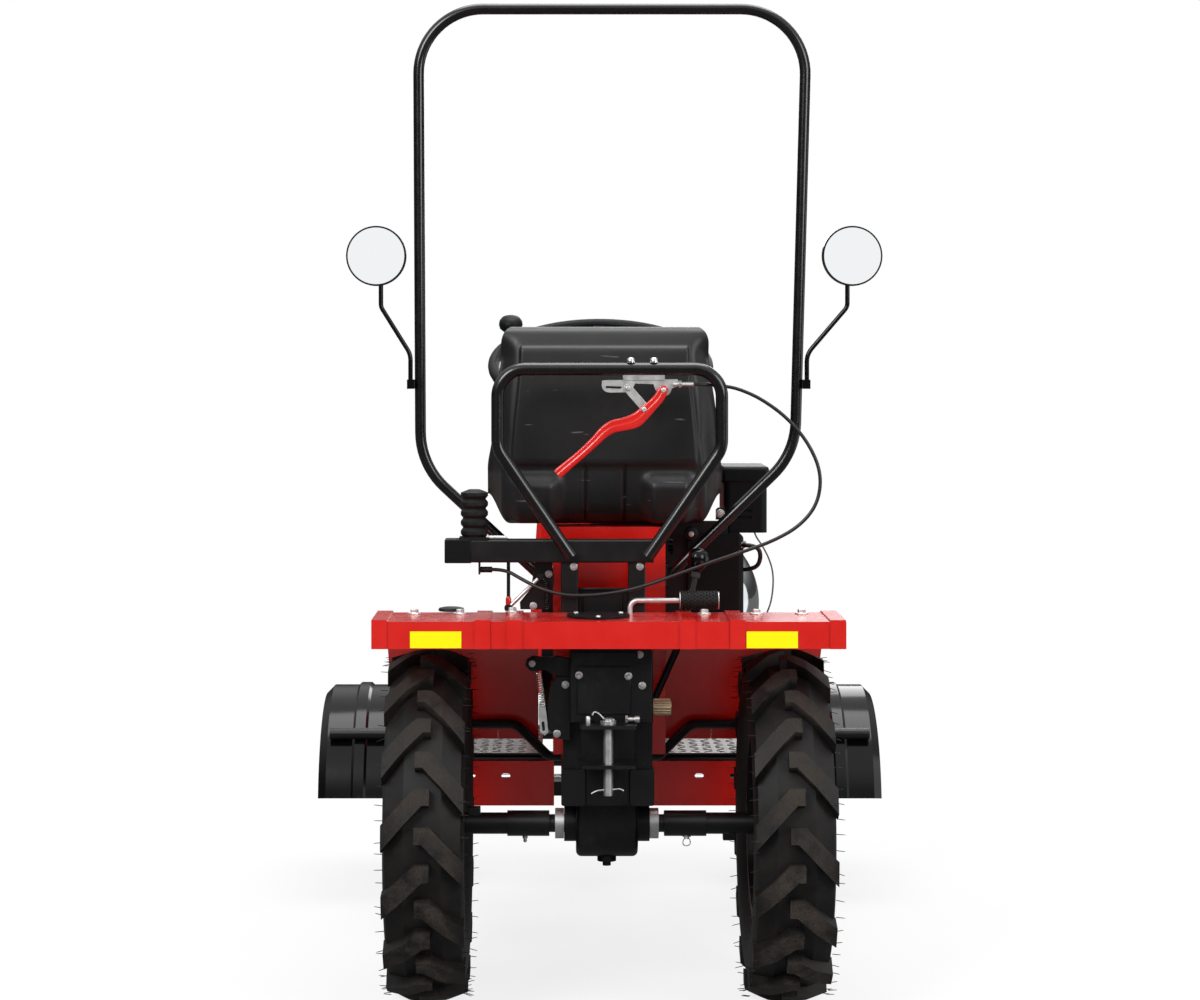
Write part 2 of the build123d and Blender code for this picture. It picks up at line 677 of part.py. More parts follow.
def deck_strip(left, right, lift):
    """One strip of the deck's sheet, raised by lift where a rib is pressed in it."""
    outer = guard_radius + lift
    inner = outer - deck_sheet - lift

    def on_guard(radius, angle):
        return (rear_axle_y + radius * sin(radians(angle)), rear_tyre_radius + radius * cos(radians(angle)))

    middle = (guard_start + guard_stop) / 2
    low = deck_height - deck_flange
    with BuildPart() as strip:
        with BuildSketch(Plane.YZ.offset(left)):
            with BuildLine():
                Polyline(
                    on_guard(inner, guard_start), (shelf_front, deck_height - deck_sheet),
                    (deck_rear + deck_sheet, deck_height - deck_sheet), (deck_rear + deck_sheet, low),
                    (deck_rear - lift, low), (deck_rear - lift, deck_height + lift),
                    (shelf_front, deck_height + lift), on_guard(outer, guard_start))
                ThreePointArc(on_guard(outer, guard_start), on_guard(outer, middle), on_guard(outer, guard_stop))
                Line(on_guard(outer, guard_stop), on_guard(inner, guard_stop))
                ThreePointArc(on_guard(inner, guard_stop), on_guard(inner, middle), on_guard(inner, guard_start))
            make_face()
        extrude(amount=right - left)
    return strip.part


deck_half = deck_width / 2
# Columns: panel, left edge, right edge, left edges of its ribs
deck_panels = (
    ("left", -deck_half, seam_left - seam_gap, (-deck_half, seam_left - deck_rib_width)),
    ("centre", seam_left, seam_right, (seam_left + deck_rib_width, seam_right - deck_rib_inset)),
    ("right", seam_right + seam_gap, deck_half, (seam_right + deck_rib_gap, deck_half - deck_rib_width)),
)
rib_width = 25.0
for panel, left, right, ribs in deck_panels:
    with BuildPart() as deck:
        add(deck_strip(left, right, 0.0))
        for rib_left in ribs:
            add(deck_strip(rib_left, rib_left + rib_width, deck_rib))
        if panel == "centre":
            with BuildSketch(Plane.XY.offset(rear_tyre_radius)):
                with Locations(((opening_left + opening_right) / 2, (shelf_front + rear_axle_y + opening_front) / 2)):
                    Rectangle(opening_right - opening_left, rear_axle_y + opening_front - shelf_front)
                with Locations(((throat_left + throat_right) / 2, rear_axle_y + opening_front + guard_radius / 2)):
                    Rectangle(throat_right - throat_left, guard_radius)
                with Locations((lever_slot_x, rear_axle_y + lever_slot_y)):
                    SlotOverall(lever_slot_length, lever_slot_width, rotation=90)
                with Locations((pedal_x, rear_axle_y - pedal_setback)):
                    Circle(pedal_hole / 2)
            extrude(amount=deck_height, mode=Mode.SUBTRACT)
    save(deck.part, "rear_deck_" + panel)

reflector_width = 83.0
reflector_height = 27.0
reflector_thickness = 2.0
reflector_z = 626.0
# Columns: side, middle of the reflector across the deck
reflector_left = -280.0
reflector_right = 264.0
reflectors = (("left", reflector_left), ("right", reflector_right))
with BuildPart() as reflector_pair:
    with BuildSketch(Plane.XZ.offset(-deck_rear)):
        with Locations(*[(x, reflector_z) for name, x in reflectors]):
            Rectangle(reflector_width, reflector_height)
    extrude(amount=reflector_thickness)
save(reflector_pair.part, "reflectors")

cover_radius = 52.0
cover_height = 4.0
cover_reach = 118.0
cover_y = rear_axle_y - cover_reach
cover_x = -16.0
with BuildPart() as deck_cover:
    with BuildSketch(Plane.XY.offset(deck_height)):
        with Locations((cover_x, cover_y)):
            Circle(cover_radius)
    extrude(amount=cover_height)
save(deck_cover.part, "deck_cover")

# Deck braces: bent tubes from the rails out to the front edge of each wheel guard
brace_tube = 17.0
brace_height = 418.0
brace_foot = 360.0
brace_reach = 262.0
brace_bend = 32.0
brace_inner_x = 100.0
brace_outer_x = 158.0
brace_radial = guard_radius - deck_sheet - touch_gap - brace_tube / 2
brace_y = rear_axle_y + sqrt(brace_radial**2 - (brace_height - rear_tyre_radius)**2)
with BuildPart() as deck_braces:
    for name, side in sides:
        add(tube_path(
            [(side * (rail_outer + touch_gap), brace_y, brace_foot), (side * brace_inner_x, brace_y, brace_foot),
             (side * brace_outer_x, brace_y, brace_height), (side * brace_reach, brace_y, brace_height)],
            [brace_bend / 2, brace_bend], brace_tube))
save(deck_braces.part, "deck_braces")

# Seat pedestal: a folded red channel, open at the front, that stands on the rails
pedestal_left = -91.0
pedestal_right = 102.0
pedestal_setback = 66.0
pedestal_rear = rear_axle_y + pedestal_setback
pedestal_reach = 150.0
pedestal_front = rear_axle_y + pedestal_reach
pedestal_top = seat_height - touch_gap
pedestal_sheet = 4.0
with BuildPart() as seat_pedestal:
    with BuildSketch(Plane.XY.offset(rail_top + touch_gap)):
        with BuildLine():
            Polyline(
                (pedestal_left, pedestal_front), (pedestal_left, pedestal_rear),
                (pedestal_right, pedestal_rear), (pedestal_right, pedestal_front),
                (pedestal_right - pedestal_sheet, pedestal_front),
                (pedestal_right - pedestal_sheet, pedestal_rear + pedestal_sheet),
                (pedestal_left + pedestal_sheet, pedestal_rear + pedestal_sheet),
                (pedestal_left + pedestal_sheet, pedestal_front), close=True)
        make_face()
    extrude(amount=pedestal_top - rail_top - touch_gap)
    with BuildSketch(Plane.XY.offset(pedestal_top - pedestal_sheet)):
        with Locations(((pedestal_left + pedestal_right) / 2, (pedestal_rear + pedestal_front) / 2)):
            Rectangle(pedestal_right - pedestal_left, pedestal_front - pedestal_rear)
    extrude(amount=pedestal_sheet)
save(seat_pedestal.part, "seat_pedestal")

# Cross beam: a box tube behind the seat on two uprights, with the tab that holds the cable's ferrule
beam_left = -271.0
beam_right = 78.0
beam_top = 776.0
beam_bottom = 738.0
beam_wall = 3.0
upright_size = 29.0
upright_left = -63.0
upright_right = 50.0
beam_reach = 25.0
beam_y = rear_axle_y - beam_reach
beam_depth = 40.0
tab_x = -216.0
tab_sheet = 3.0
tab_drop = 22.0
ferrule_diameter = 10.0
ferrule_z = 725.0
ferrule_start = -193.0
with BuildPart() as cross_beam:
    with BuildSketch(Plane.YZ.offset(beam_left)):
        with Locations((beam_y, (beam_top + beam_bottom) / 2)):
            RectangleRounded(beam_depth, beam_top - beam_bottom, beam_wall)
    extrude(amount=beam_right - beam_left)
    for post_x in (upright_left, upright_right):
        with BuildSketch(Plane.XY.offset(case_top + touch_gap)):
            with Locations((post_x, beam_y)):
                RectangleRounded(upright_size, upright_size, beam_wall)
        extrude(amount=beam_bottom - case_top + beam_wall)
    with BuildSketch(Plane.YZ.offset(tab_x)):
        with Locations((beam_y, beam_bottom + beam_wall - tab_drop / 2)):
            Rectangle(tab_drop, tab_drop + beam_wall)
    extrude(amount=tab_sheet)
    with BuildSketch(Plane.YZ.offset(tab_x)):
        with Locations((beam_y, ferrule_z)):
            Circle(ferrule_diameter / 2)
    extrude(amount=ferrule_start - tab_x)
save(cross_beam.part, "cross_beam")

# Lever boot: a ribbed rubber grip on a plate at the beam's left end
boot_x = -223.0
boot_height = 80.0
boot_radius = 23.0
boot_neck = 19.0
boot_ribs = 5
boot_plate = 4.0
with BuildPart() as lever_boot:
    with BuildSketch(Plane.XY.offset(beam_top + touch_gap)):
        with Locations((boot_x, beam_y)):
            RectangleRounded(2 * boot_radius + boot_plate, beam_depth, boot_plate)
    extrude(amount=boot_plate)
    rib_pitch = boot_height / boot_ribs
    with BuildSketch(Plane.XZ.offset(-beam_y)):
        with BuildLine():
            outline = [(boot_x, beam_top + boot_plate)]
            for step in range(boot_ribs):
                low = beam_top + boot_plate + step * rib_pitch
                outline += [(boot_x + boot_neck, low), (boot_x + boot_radius, low + rib_pitch / 3),
                            (boot_x + boot_radius, low + rib_pitch * 2 / 3)]
            outline += [(boot_x + boot_neck / 2, beam_top + boot_plate + boot_height),
                        (boot_x, beam_top + boot_plate + boot_height)]
            Polyline(*outline, close=True)
        make_face()
    revolve(axis=Axis((boot_x, beam_y, 0), (0, 0, 1)))
save(lever_boot.part, "lever_boot")

# Seat: a moulded shell with side wings, and two pads on it
seat_back_height = 344.0
seat_back_top = seat_height + seat_back_height
seat_back_half = 178.0
seat_wing_half = 202.0
seat_wing_rise = 79.0
seat_wing_height = seat_height + seat_wing_rise
seat_shoulder_share = 0.44
seat_shoulder_half = 194.0
seat_back_setback = 42.0
seat_back_rear = rear_axle_y + seat_back_setback
seat_back_depth = 46.0
seat_front_reach = 455.0
seat_front = rear_axle_y + seat_front_reach
seat_pan_height = 62.0
seat_corner = 30.0
pad_depth = 42.0
pad_inset = 26.0
panel_rise = 7.0
panel_taper = 20.0
panel_top_half = 146.0
panel_low_half = 160.0
panel_margin = 31.0
bulge_inner = 62.0
bulge_outer = 158.0
seat_shoulder = seat_height + seat_back_height * seat_shoulder_share
with BuildPart() as seat_shell:
    with BuildSketch(Plane.XZ.offset(-seat_back_rear)):
        with BuildLine():
            Polyline(
                (-seat_back_half, seat_back_top), (seat_back_half, seat_back_top),
                (seat_shoulder_half, seat_shoulder), (seat_wing_half, seat_wing_height),
                (seat_wing_half, seat_height + seat_pan_height / 2), (seat_back_half, seat_height),
                (-seat_back_half, seat_height), (-seat_wing_half, seat_height + seat_pan_height / 2),
                (-seat_wing_half, seat_wing_height), (-seat_shoulder_half, seat_shoulder), close=True)
        make_face()
    extrude(amount=-seat_back_depth)
    fillet(seat_shell.edges().filter_by(Axis.Y).group_by(Axis.Z)[-1], seat_corner)
    fillet(seat_shell.faces().sort_by(Axis.Y)[0].edges(), seat_corner / 3)
    # Columns: corners of each raised field of the back's outer face
    raised_fields = (
        ((-panel_top_half, seat_back_top - panel_margin), (panel_top_half, seat_back_top - panel_margin),
         (panel_low_half, seat_wing_height + panel_margin), (-panel_low_half, seat_wing_height + panel_margin)),
        ((-bulge_outer, seat_wing_height + panel_margin / 2), (-bulge_inner, seat_wing_height + panel_margin / 2),
         (-bulge_inner, seat_height + panel_rise), (-bulge_outer, seat_height + panel_rise)),
        ((bulge_inner, seat_wing_height + panel_margin / 2), (bulge_outer, seat_wing_height + panel_margin / 2),
         (bulge_outer, seat_height + panel_rise), (bulge_inner, seat_height + panel_rise)),
    )
    for field in raised_fields:
        with BuildSketch(Plane.XZ.offset(-seat_back_rear - panel_rise)):
            Polygon(*field, align=None)
        extrude(amount=2 * panel_rise, taper=panel_taper)
    with BuildSketch(Plane.XZ.offset(-seat_back_rear - seat_back_depth / 2)):
        with BuildLine():
            Polyline(
                (-seat_wing_half, seat_height + seat_pan_height), (seat_wing_half, seat_height + seat_pan_height),
                (seat_wing_half, seat_height + seat_pan_height / 2), (seat_back_half, seat_height),
                (-seat_back_half, seat_height), (-seat_wing_half, seat_height + seat_pan_height / 2), close=True)
        make_face()
    extrude(amount=-(seat_front - seat_back_rear - seat_back_depth / 2))
save(seat_shell.part, "seat_shell")

seat_back_pad = bar(
    (-seat_back_half + pad_inset, seat_back_half - pad_inset),
    (seat_back_rear + seat_back_depth + touch_gap, seat_back_rear + seat_back_depth + touch_gap + pad_depth),
    (seat_height + seat_pan_height + pad_depth + 2 * touch_gap, seat_back_top - pad_inset))
save(seat_back_pad, "seat_back_pad")
seat_base_pad = bar(
    (-seat_back_half + pad_inset / 2, seat_back_half - pad_inset / 2),
    (seat_back_rear + seat_back_depth + touch_gap, seat_front - pad_inset / 2),
    (seat_height + seat_pan_height + touch_gap, seat_height + seat_pan_height + touch_gap + pad_depth), seat_corner)
save(seat_base_pad, "seat_base_pad")

# Seat guard: a bent tube behind the seat with both feet on the cross beam
guard_tube = 21.0
guard_half = 198.0
guard_top = 1073.0
guard_foot = 64.0
guard_waist = 930.0
guard_y = beam_y - beam_depth / 2 - touch_gap - guard_tube / 2
guard_bend = 46.0
guard_centre_x = 4.0
guard_line = guard_half - guard_tube / 2
foot_z = beam_bottom + guard_tube / 2
guard_points = [
    (guard_centre_x - guard_foot, guard_y, foot_z),
    (guard_centre_x - guard_line, guard_y, guard_waist),
    (guard_centre_x - guard_line, guard_y, guard_top - guard_tube / 2),
    (guard_centre_x + guard_line, guard_y, guard_top - guard_tube / 2),
    (guard_centre_x + guard_line, guard_y, guard_waist),
    (guard_centre_x + guard_foot, guard_y, foot_z),
]
seat_guard = tube_path(guard_points, [guard_bend, guard_bend, guard_bend, guard_bend], guard_tube)
save(seat_guard, "seat_guard")

# Hand lever: a zinc bracket on the guard's top bar, a red lever below it and a cable adjuster
bracket_left = -9.0
bracket_right = 128.0
bracket_height = 20.0
bracket_sheet = 4.0
bracket_top = guard_top - guard_tube - touch_gap
bracket_bottom = bracket_top - bracket_height
adjuster_diameter = 8.0
adjuster_length = 18.0
adjuster_z = 1037.0
dome_nut_radius = 6.5
dome_nut_height = 6.0
# Places of the two dome nuts across the tractor
nut_near = 39.5
nut_far = 78.0
nut_places = (nut_near, nut_far)
with BuildPart() as lever_bracket:
    with BuildSketch(Plane.XZ.offset(-guard_y - bracket_sheet / 2)):
        with Locations(((bracket_left + bracket_right) / 2, (bracket_top + bracket_bottom) / 2)):
            RectangleRounded(bracket_right - bracket_left, bracket_height, bracket_sheet)
    extrude(amount=bracket_sheet)
    with BuildSketch(Plane.YZ.offset(bracket_right - bracket_sheet)):
        with Locations((guard_y, adjuster_z)):
            Circle(adjuster_diameter / 2)
    extrude(amount=adjuster_length + bracket_sheet)
    with BuildSketch(Plane.XY.offset(guard_top + touch_gap)):
        with Locations(*[(place, guard_y) for place in nut_places]):
            Circle(dome_nut_radius)
    extrude(amount=dome_nut_height)
save(lever_bracket.part, "lever_bracket")

lever_thickness = 12.0
lever_y = guard_y - bracket_sheet / 2 - touch_gap
# Columns: across the tractor, height, half of the lever's depth there
lever_stations = (
    (97.0, 1034.0, 9.0),
    (57.0, 998.0, 10.0),
    (30.0, 978.0, 8.0),
    (-12.0, 958.0, 8.0),
    (-82.0, 882.0, 5.0),
)
with BuildPart() as brake_lever:
    with BuildSketch(Plane.XZ.offset(-lever_y)):
        upper = []
        lower = []
        for (x0, z0, h0), (x1, z1, h1) in zip(lever_stations, lever_stations[1:]):
            slope = Vector(x1 - x0, z1 - z0).normalized()
            upper.append((x0 - slope.Y * h0, z0 + slope.X * h0))
            lower.append((x0 + slope.Y * h0, z0 - slope.X * h0))
        upper.append((x1 - slope.Y * h1, z1 + slope.X * h1))
        lower.append((x1 + slope.Y * h1, z1 - slope.X * h1))
        with BuildLine():
            Polyline(*(upper + lower[::-1]), close=True)
        make_face()
    extrude(amount=lever_thickness)
save(brake_lever.part, "brake_lever")

# Roll hoop: one bent tube from the pedestal's sides up over the driver
hoop_setback = 120.0
hoop_y = rear_axle_y + hoop_setback
hoop_left_top = -325.0
hoop_right_top = 350.0
hoop_left_low = -321.0
hoop_right_low = 329.0
hoop_left_corner_z = 895.0
hoop_right_corner_z = 915.0
hoop_left_foot_z = 690.0
hoop_right_foot_z = 703.0
hoop_foot_reach = 9.0
hoop_bend = 112.0
hoop_waist_bend = 130.0
foot_plate = 5.0
foot_plate_size = 46.0
hoop_points = [
    (pedestal_left - hoop_foot_reach, hoop_y, hoop_left_foot_z),
    (hoop_left_low, hoop_y, hoop_left_corner_z),
    (hoop_left_top, hoop_y, hoop_height - hoop_tube / 2),
    (hoop_right_top, hoop_y, hoop_height - hoop_tube / 2),
    (hoop_right_low, hoop_y, hoop_right_corner_z),
    (pedestal_right + hoop_foot_reach, hoop_y, hoop_right_foot_z),
]
with BuildPart() as roll_hoop:
    add(tube_path(hoop_points, [hoop_waist_bend, hoop_bend, hoop_bend, hoop_waist_bend], hoop_tube))
    # Columns: pedestal's side face, way out from it, height of the foot
    for face_x, outward, foot_height in (
            (pedestal_left, -1, hoop_left_foot_z), (pedestal_right, 1, hoop_right_foot_z)):
        with BuildSketch(Plane.YZ.offset(face_x + outward * touch_gap)):
            with Locations((hoop_y, foot_height)):
                RectangleRounded(foot_plate_size, foot_plate_size, foot_plate)
        extrude(amount=outward * foot_plate)
save(roll_hoop.part, "roll_hoop")

# Mirrors: a round housing on a bent stem, clamped to the hoop's post
mirror_radius = 52.0
mirror_depth = 14.0
mirror_z = 1257.0
stem_tube = 8.0
clamp_height = 16.0
clamp_reach = 6.0
clamp_z = 1035.0
mirror_reach = 22.0
mirror_y = hoop_y - mirror_reach
# Columns: side, hand, place of the mirror's middle, stem's bend
mirror_places = (
    ("left", -1, -397.0, 36.0),
    ("right", 1, 426.5, 36.0),
)
posts = {
    "left": ((hoop_left_low, hoop_left_corner_z), (hoop_left_top, hoop_height)),
    "right": ((hoop_right_low, hoop_right_corner_z), (hoop_right_top, hoop_height)),
}
with BuildPart() as mirrors:
    for name, side, mirror_x, stem_bend in mirror_places:
        (low_x, low_z), (high_x, high_z) = posts[name]
        post_x = low_x + (high_x - low_x) * (clamp_z - low_z) / (high_z - low_z)
        clamp_x = post_x + side * (hoop_tube / 2 + clamp_reach + 2 * touch_gap)
        stem_y = mirror_y + mirror_depth / 2
        stem_x = mirror_x - side * stem_tube
        with BuildSketch(Plane.XZ.offset(-mirror_y)):
            with Locations((mirror_x, mirror_z)):
                Circle(mirror_radius)
        extrude(amount=-mirror_depth)
        with BuildSketch(Plane.XY.offset(clamp_z - clamp_height / 2)):
            with Locations((clamp_x, hoop_y)):
                Rectangle(2 * clamp_reach, 2 * hoop_tube)
        extrude(amount=clamp_height)
        add(tube_path(
            [(clamp_x, stem_y, clamp_z), (clamp_x, stem_y, clamp_z + clamp_height + stem_bend),
             (stem_x, stem_y, mirror_z - mirror_radius - stem_bend),
             (stem_x, stem_y, mirror_z - mirror_radius + stem_tube)],
            [stem_bend, stem_bend / 2], stem_tube))
save(mirrors.part, "mirrors")

glass_thickness = 2.0
glass_margin = 3.0
with BuildPart() as mirror_glass:
    for name, side, mirror_x, stem_bend in mirror_places:
        with BuildSketch(Plane.XZ.offset(-mirror_y)):
            with Locations((mirror_x, mirror_z)):
                Circle(mirror_radius - glass_margin)
        extrude(amount=glass_thickness)
save(mirror_glass.part, "mirror_glass")

# Engine bed and engine: crankcase, finned cylinder, blower housing, chrome starter cover
engine_base = 497.0
engine_room = seat_height - engine_base
crank_share = 0.4524
crank_height = engine_base + crank_share * engine_room
engine_rear_reach = 290.0
engine_rear = rear_axle_y + engine_rear_reach
engine_front_reach = 515.0
engine_front = rear_axle_y + engine_front_reach
crankcase_left = -30.0
crankcase_right = 150.0
crankcase_top_share = 0.6565
crankcase_top = engine_base + crankcase_top_share * engine_room
engine_middle_y = (engine_rear + engine_front) / 2
bed_plate = 8.0
bed_leg = 40.0
with BuildPart() as framework:
    add(main_frame.part)
    with BuildSketch(Plane.XY.offset(engine_base - bed_plate)):
        with Locations(((crankcase_left + crankcase_right) / 2, engine_middle_y)):
            Rectangle(crankcase_right - crankcase_left + bed_leg, engine_front - engine_rear)
    extrude(amount=bed_plate)
    for leg_x in (-rail_middle, rail_middle):
        with BuildSketch(Plane.XY.offset(rail_top - rail_corner)):
            with Locations((leg_x, engine_middle_y)):
                Rectangle(rail_width - 2 * rail_corner, engine_front - engine_rear)
        extrude(amount=engine_base - rail_top + rail_corner)
save(framework.part, "main_frame")

cylinder_tilt = 25.0
cylinder_length_share = 0.449
cylinder_width_share = 0.442
cylinder_length = cylinder_length_share * engine_room
cylinder_width = cylinder_width_share * engine_room
fin_count = 8
fin_thickness = 4.0
fin_reach = 9.0
with BuildPart() as engine_block:
    with BuildSketch(Plane.XY.offset(engine_base + touch_gap)):
        with Locations(((crankcase_left + crankcase_right) / 2, engine_middle_y)):
            RectangleRounded(crankcase_right - crankcase_left, engine_front - engine_rear, bed_leg / 2)
    extrude(amount=crankcase_top - engine_base)
    tilted = Plane(
        ((crankcase_left + crankcase_right) / 2, engine_middle_y, crank_height),
        x_dir=(1, 0, 0), z_dir=(0, -sin(radians(-cylinder_tilt)), cos(radians(-cylinder_tilt))))
    with BuildSketch(tilted):
        RectangleRounded(cylinder_width, cylinder_width, bed_leg / 4)
    extrude(amount=cylinder_length)
    for step in range(fin_count):
        lift = cylinder_length - (step + 1) * 2 * fin_thickness
        with BuildSketch(tilted.offset(lift)):
            RectangleRounded(cylinder_width + 2 * fin_reach, cylinder_width + 2 * fin_reach, bed_leg / 4)
        extrude(amount=fin_thickness)
save(engine_block.part, "engine_block")

blower_right = 251.0
blower_radius_share = 0.4354
blower_top_share = 0.9082
blower_radius = blower_radius_share * engine_room
blower_top = engine_base + blower_top_share * engine_room
with BuildPart() as blower_housing:
    with BuildSketch(Plane.YZ.offset(crankcase_right + touch_gap)):
        with Locations((engine_middle_y, crank_height)):
            Circle(blower_radius)
        with Locations((engine_middle_y, (crank_height + blower_top) / 2)):
            Rectangle(2 * blower_radius, blower_top - crank_height)
    extrude(amount=blower_right - crankcase_right - touch_gap)
    fillet(blower_housing.faces().sort_by(Axis.X)[-1].edges(), bed_leg / 4)
save(blower_housing.part, "blower_housing")

dome_radius_share = 0.75
dome_radius = dome_radius_share * blower_radius
dome_height = 36.0
cap_radius = (dome_radius**2 + dome_height**2) / (2 * dome_height)
cap_half_turn = asin(dome_radius / cap_radius) / 2
dome_apex = blower_right + touch_gap + dome_height
with BuildPart() as starter_cover:
    with BuildSketch(Plane.XY.offset(crank_height)):
        with BuildLine():
            Polyline((dome_apex, engine_middle_y), (dome_apex - dome_height, engine_middle_y),
                     (dome_apex - dome_height, engine_middle_y + dome_radius))
            ThreePointArc(
                (dome_apex - dome_height, engine_middle_y + dome_radius),
                (dome_apex - cap_radius * (1 - cos(cap_half_turn)),
                 engine_middle_y + cap_radius * sin(cap_half_turn)),
                (dome_apex, engine_middle_y))
        make_face()
    revolve(axis=Axis((0, engine_middle_y, crank_height), (1, 0, 0)))
save(starter_cover.part, "starter_cover")

# Air cleaner: the louvred black box on top of the blower housing
cleaner_left = 217.0
cleaner_right = 295.0
cleaner_bottom = blower_top + touch_gap
cleaner_height = 118.0
cleaner_top = cleaner_bottom + cleaner_height
cleaner_setback = 10.0
cleaner_rear = engine_rear + cleaner_setback
cleaner_depth = 150.0
cleaner_front = cleaner_rear + cleaner_depth
lid_height = 28.0
louvre_count = 3
louvre_depth = 4.0
louvre_height = 4.0
with BuildPart() as air_cleaner:
    with BuildSketch(Plane.XY.offset(cleaner_bottom)):
        with Locations(((cleaner_left + cleaner_right) / 2, (cleaner_rear + cleaner_front) / 2)):
            RectangleRounded(cleaner_right - cleaner_left, cleaner_front - cleaner_rear, 3 * louvre_depth)
    extrude(amount=cleaner_top - cleaner_bottom)
    fillet(air_cleaner.faces().sort_by(Axis.Z)[-1].edges(), 2 * louvre_depth)
    with BuildSketch(Plane.XY.offset(cleaner_top - lid_height)):
        with Locations(((cleaner_left + cleaner_right) / 2, (cleaner_rear + cleaner_front) / 2)):
            RectangleRounded(
                cleaner_right - cleaner_left + louvre_depth, cleaner_front - cleaner_rear + louvre_depth,
                3 * louvre_depth)
    extrude(amount=louvre_depth)
    for step in range(louvre_count):
        with BuildSketch(Plane.XZ.offset(-cleaner_rear)):
            with Locations((cleaner_right - 3 * lid_height / 2, cleaner_bottom + lid_height + step * 3 * louvre_height)):
                Rectangle(lid_height, louvre_height)
        extrude(amount=-louvre_depth, mode=Mode.SUBTRACT)
save(air_cleaner.part, "air_cleaner")

# Muffler across the front of the crankcase, and the belt guard over the drive to the gear case
muffler_radius = 45.0
muffler_left = -100.0
muffler_right = 60.0
muffler_z = crank_height + bed_plate
muffler_y = engine_front + touch_gap + muffler_radius
with BuildPart() as muffler:
    with BuildSketch(Plane.YZ.offset(muffler_left)):
        with Locations((muffler_y, muffler_z)):
            Circle(muffler_radius)
    extrude(amount=muffler_right - muffler_left)
save(muffler.part, "muffler")

belt_left = -112.0
belt_right = -84.0
belt_pulley_share = 0.211
belt_pulley = belt_pulley_share * engine_room
belt_boss = 24.0
belt_rear_reach = 215.0
belt_rear_y = rear_axle_y + belt_rear_reach
belt_rear_z = 470.0
belt_rear_pulley = 50.0
with BuildPart() as belt_guard:
    with BuildSketch(Plane.YZ.offset(belt_left)):
        with Locations((engine_middle_y, crank_height)):
            Circle(belt_pulley)
        with Locations((belt_rear_y, belt_rear_z)):
            Circle(belt_rear_pulley)
        make_hull()
    extrude(amount=belt_right - belt_left)
    with BuildSketch(Plane.YZ.offset(belt_right)):
        with Locations((engine_middle_y, crank_height)):
            Circle(belt_boss)
    extrude(amount=crankcase_left - touch_gap - belt_right)
save(belt_guard.part, "belt_guard")

# Footboards: chequered plates on cross tubes, with a slotted skirt below the rear edge
board_rear_reach = 452.0
board_rear = rear_axle_y + board_rear_reach
board_front_reach = 822.0
board_front = rear_axle_y + board_front_reach
board_inner = 112.0
board_outer = 380.0
board_thickness = 4.0
board_top = rail_bottom + board_thickness
skirt_height = 83.0
skirt_drop = 11.0
skirt_inner = 90.0
skirt_sheet = 3.0
slot_length = 16.0
slot_height = 9.0
slot_near = 180.0
slot_far = 245.0
slot_places = (slot_near, slot_far)
with BuildPart() as footboards:
    for name, side in sides:
        board_x = sorted((side * board_inner, side * board_outer))
        add(bar(board_x, (board_rear, board_front), (rail_bottom + touch_gap, board_top), board_thickness))
save(footboards.part, "footboards")

with BuildPart() as skirts:
    for name, side in sides:
        skirt_x = sorted((side * skirt_inner, side * board_outer))
        with BuildSketch(Plane.XZ.offset(-board_rear)):
            with Locations((sum(skirt_x) / 2, rail_bottom - skirt_drop - skirt_height / 2)):
                Rectangle(skirt_x[1] - skirt_x[0], skirt_height)
            with Locations(*[(side * place, rail_bottom - skirt_drop - skirt_height / 3) for place in slot_places]):
                SlotOverall(slot_length, slot_height, mode=Mode.SUBTRACT)
        extrude(amount=-skirt_sheet)
save(skirts.part, "skirt_panels")

step_tube = 22.0
step_tube_z = rail_bottom - touch_gap - step_tube / 2
fender_outer_radius = 236.0
ridge_height = 5.0
fender_sheet = 4.0
front_tube_offset = fender_outer_radius + ridge_height + touch_gap + step_tube / 2
front_tube_y = front_axle_y - sqrt(front_tube_offset**2 - (step_tube_z - front_tyre_radius)**2)
rear_tube_y = board_rear + skirt_sheet + touch_gap + step_tube / 2
with BuildPart() as step_frame:
    for tube_y, reach in ((front_tube_y, overall_width / 2 - step_tube), (rear_tube_y, board_outer)):
        with BuildSketch(Plane.YZ.offset(-reach)):
            with Locations((tube_y, step_tube_z)):
                Circle(step_tube / 2)
        extrude(amount=2 * reach)
save(step_frame.part, "step_frame")

# Front fenders: wide moulded arches over the steered wheels, with two ridges round them
fender_inner_x = 300.0
fender_outer_x = overall_width / 2
fender_skirt = 22.0
fender_shoulder = 16.0
fender_start = 55.0
fender_sweep = 135.0
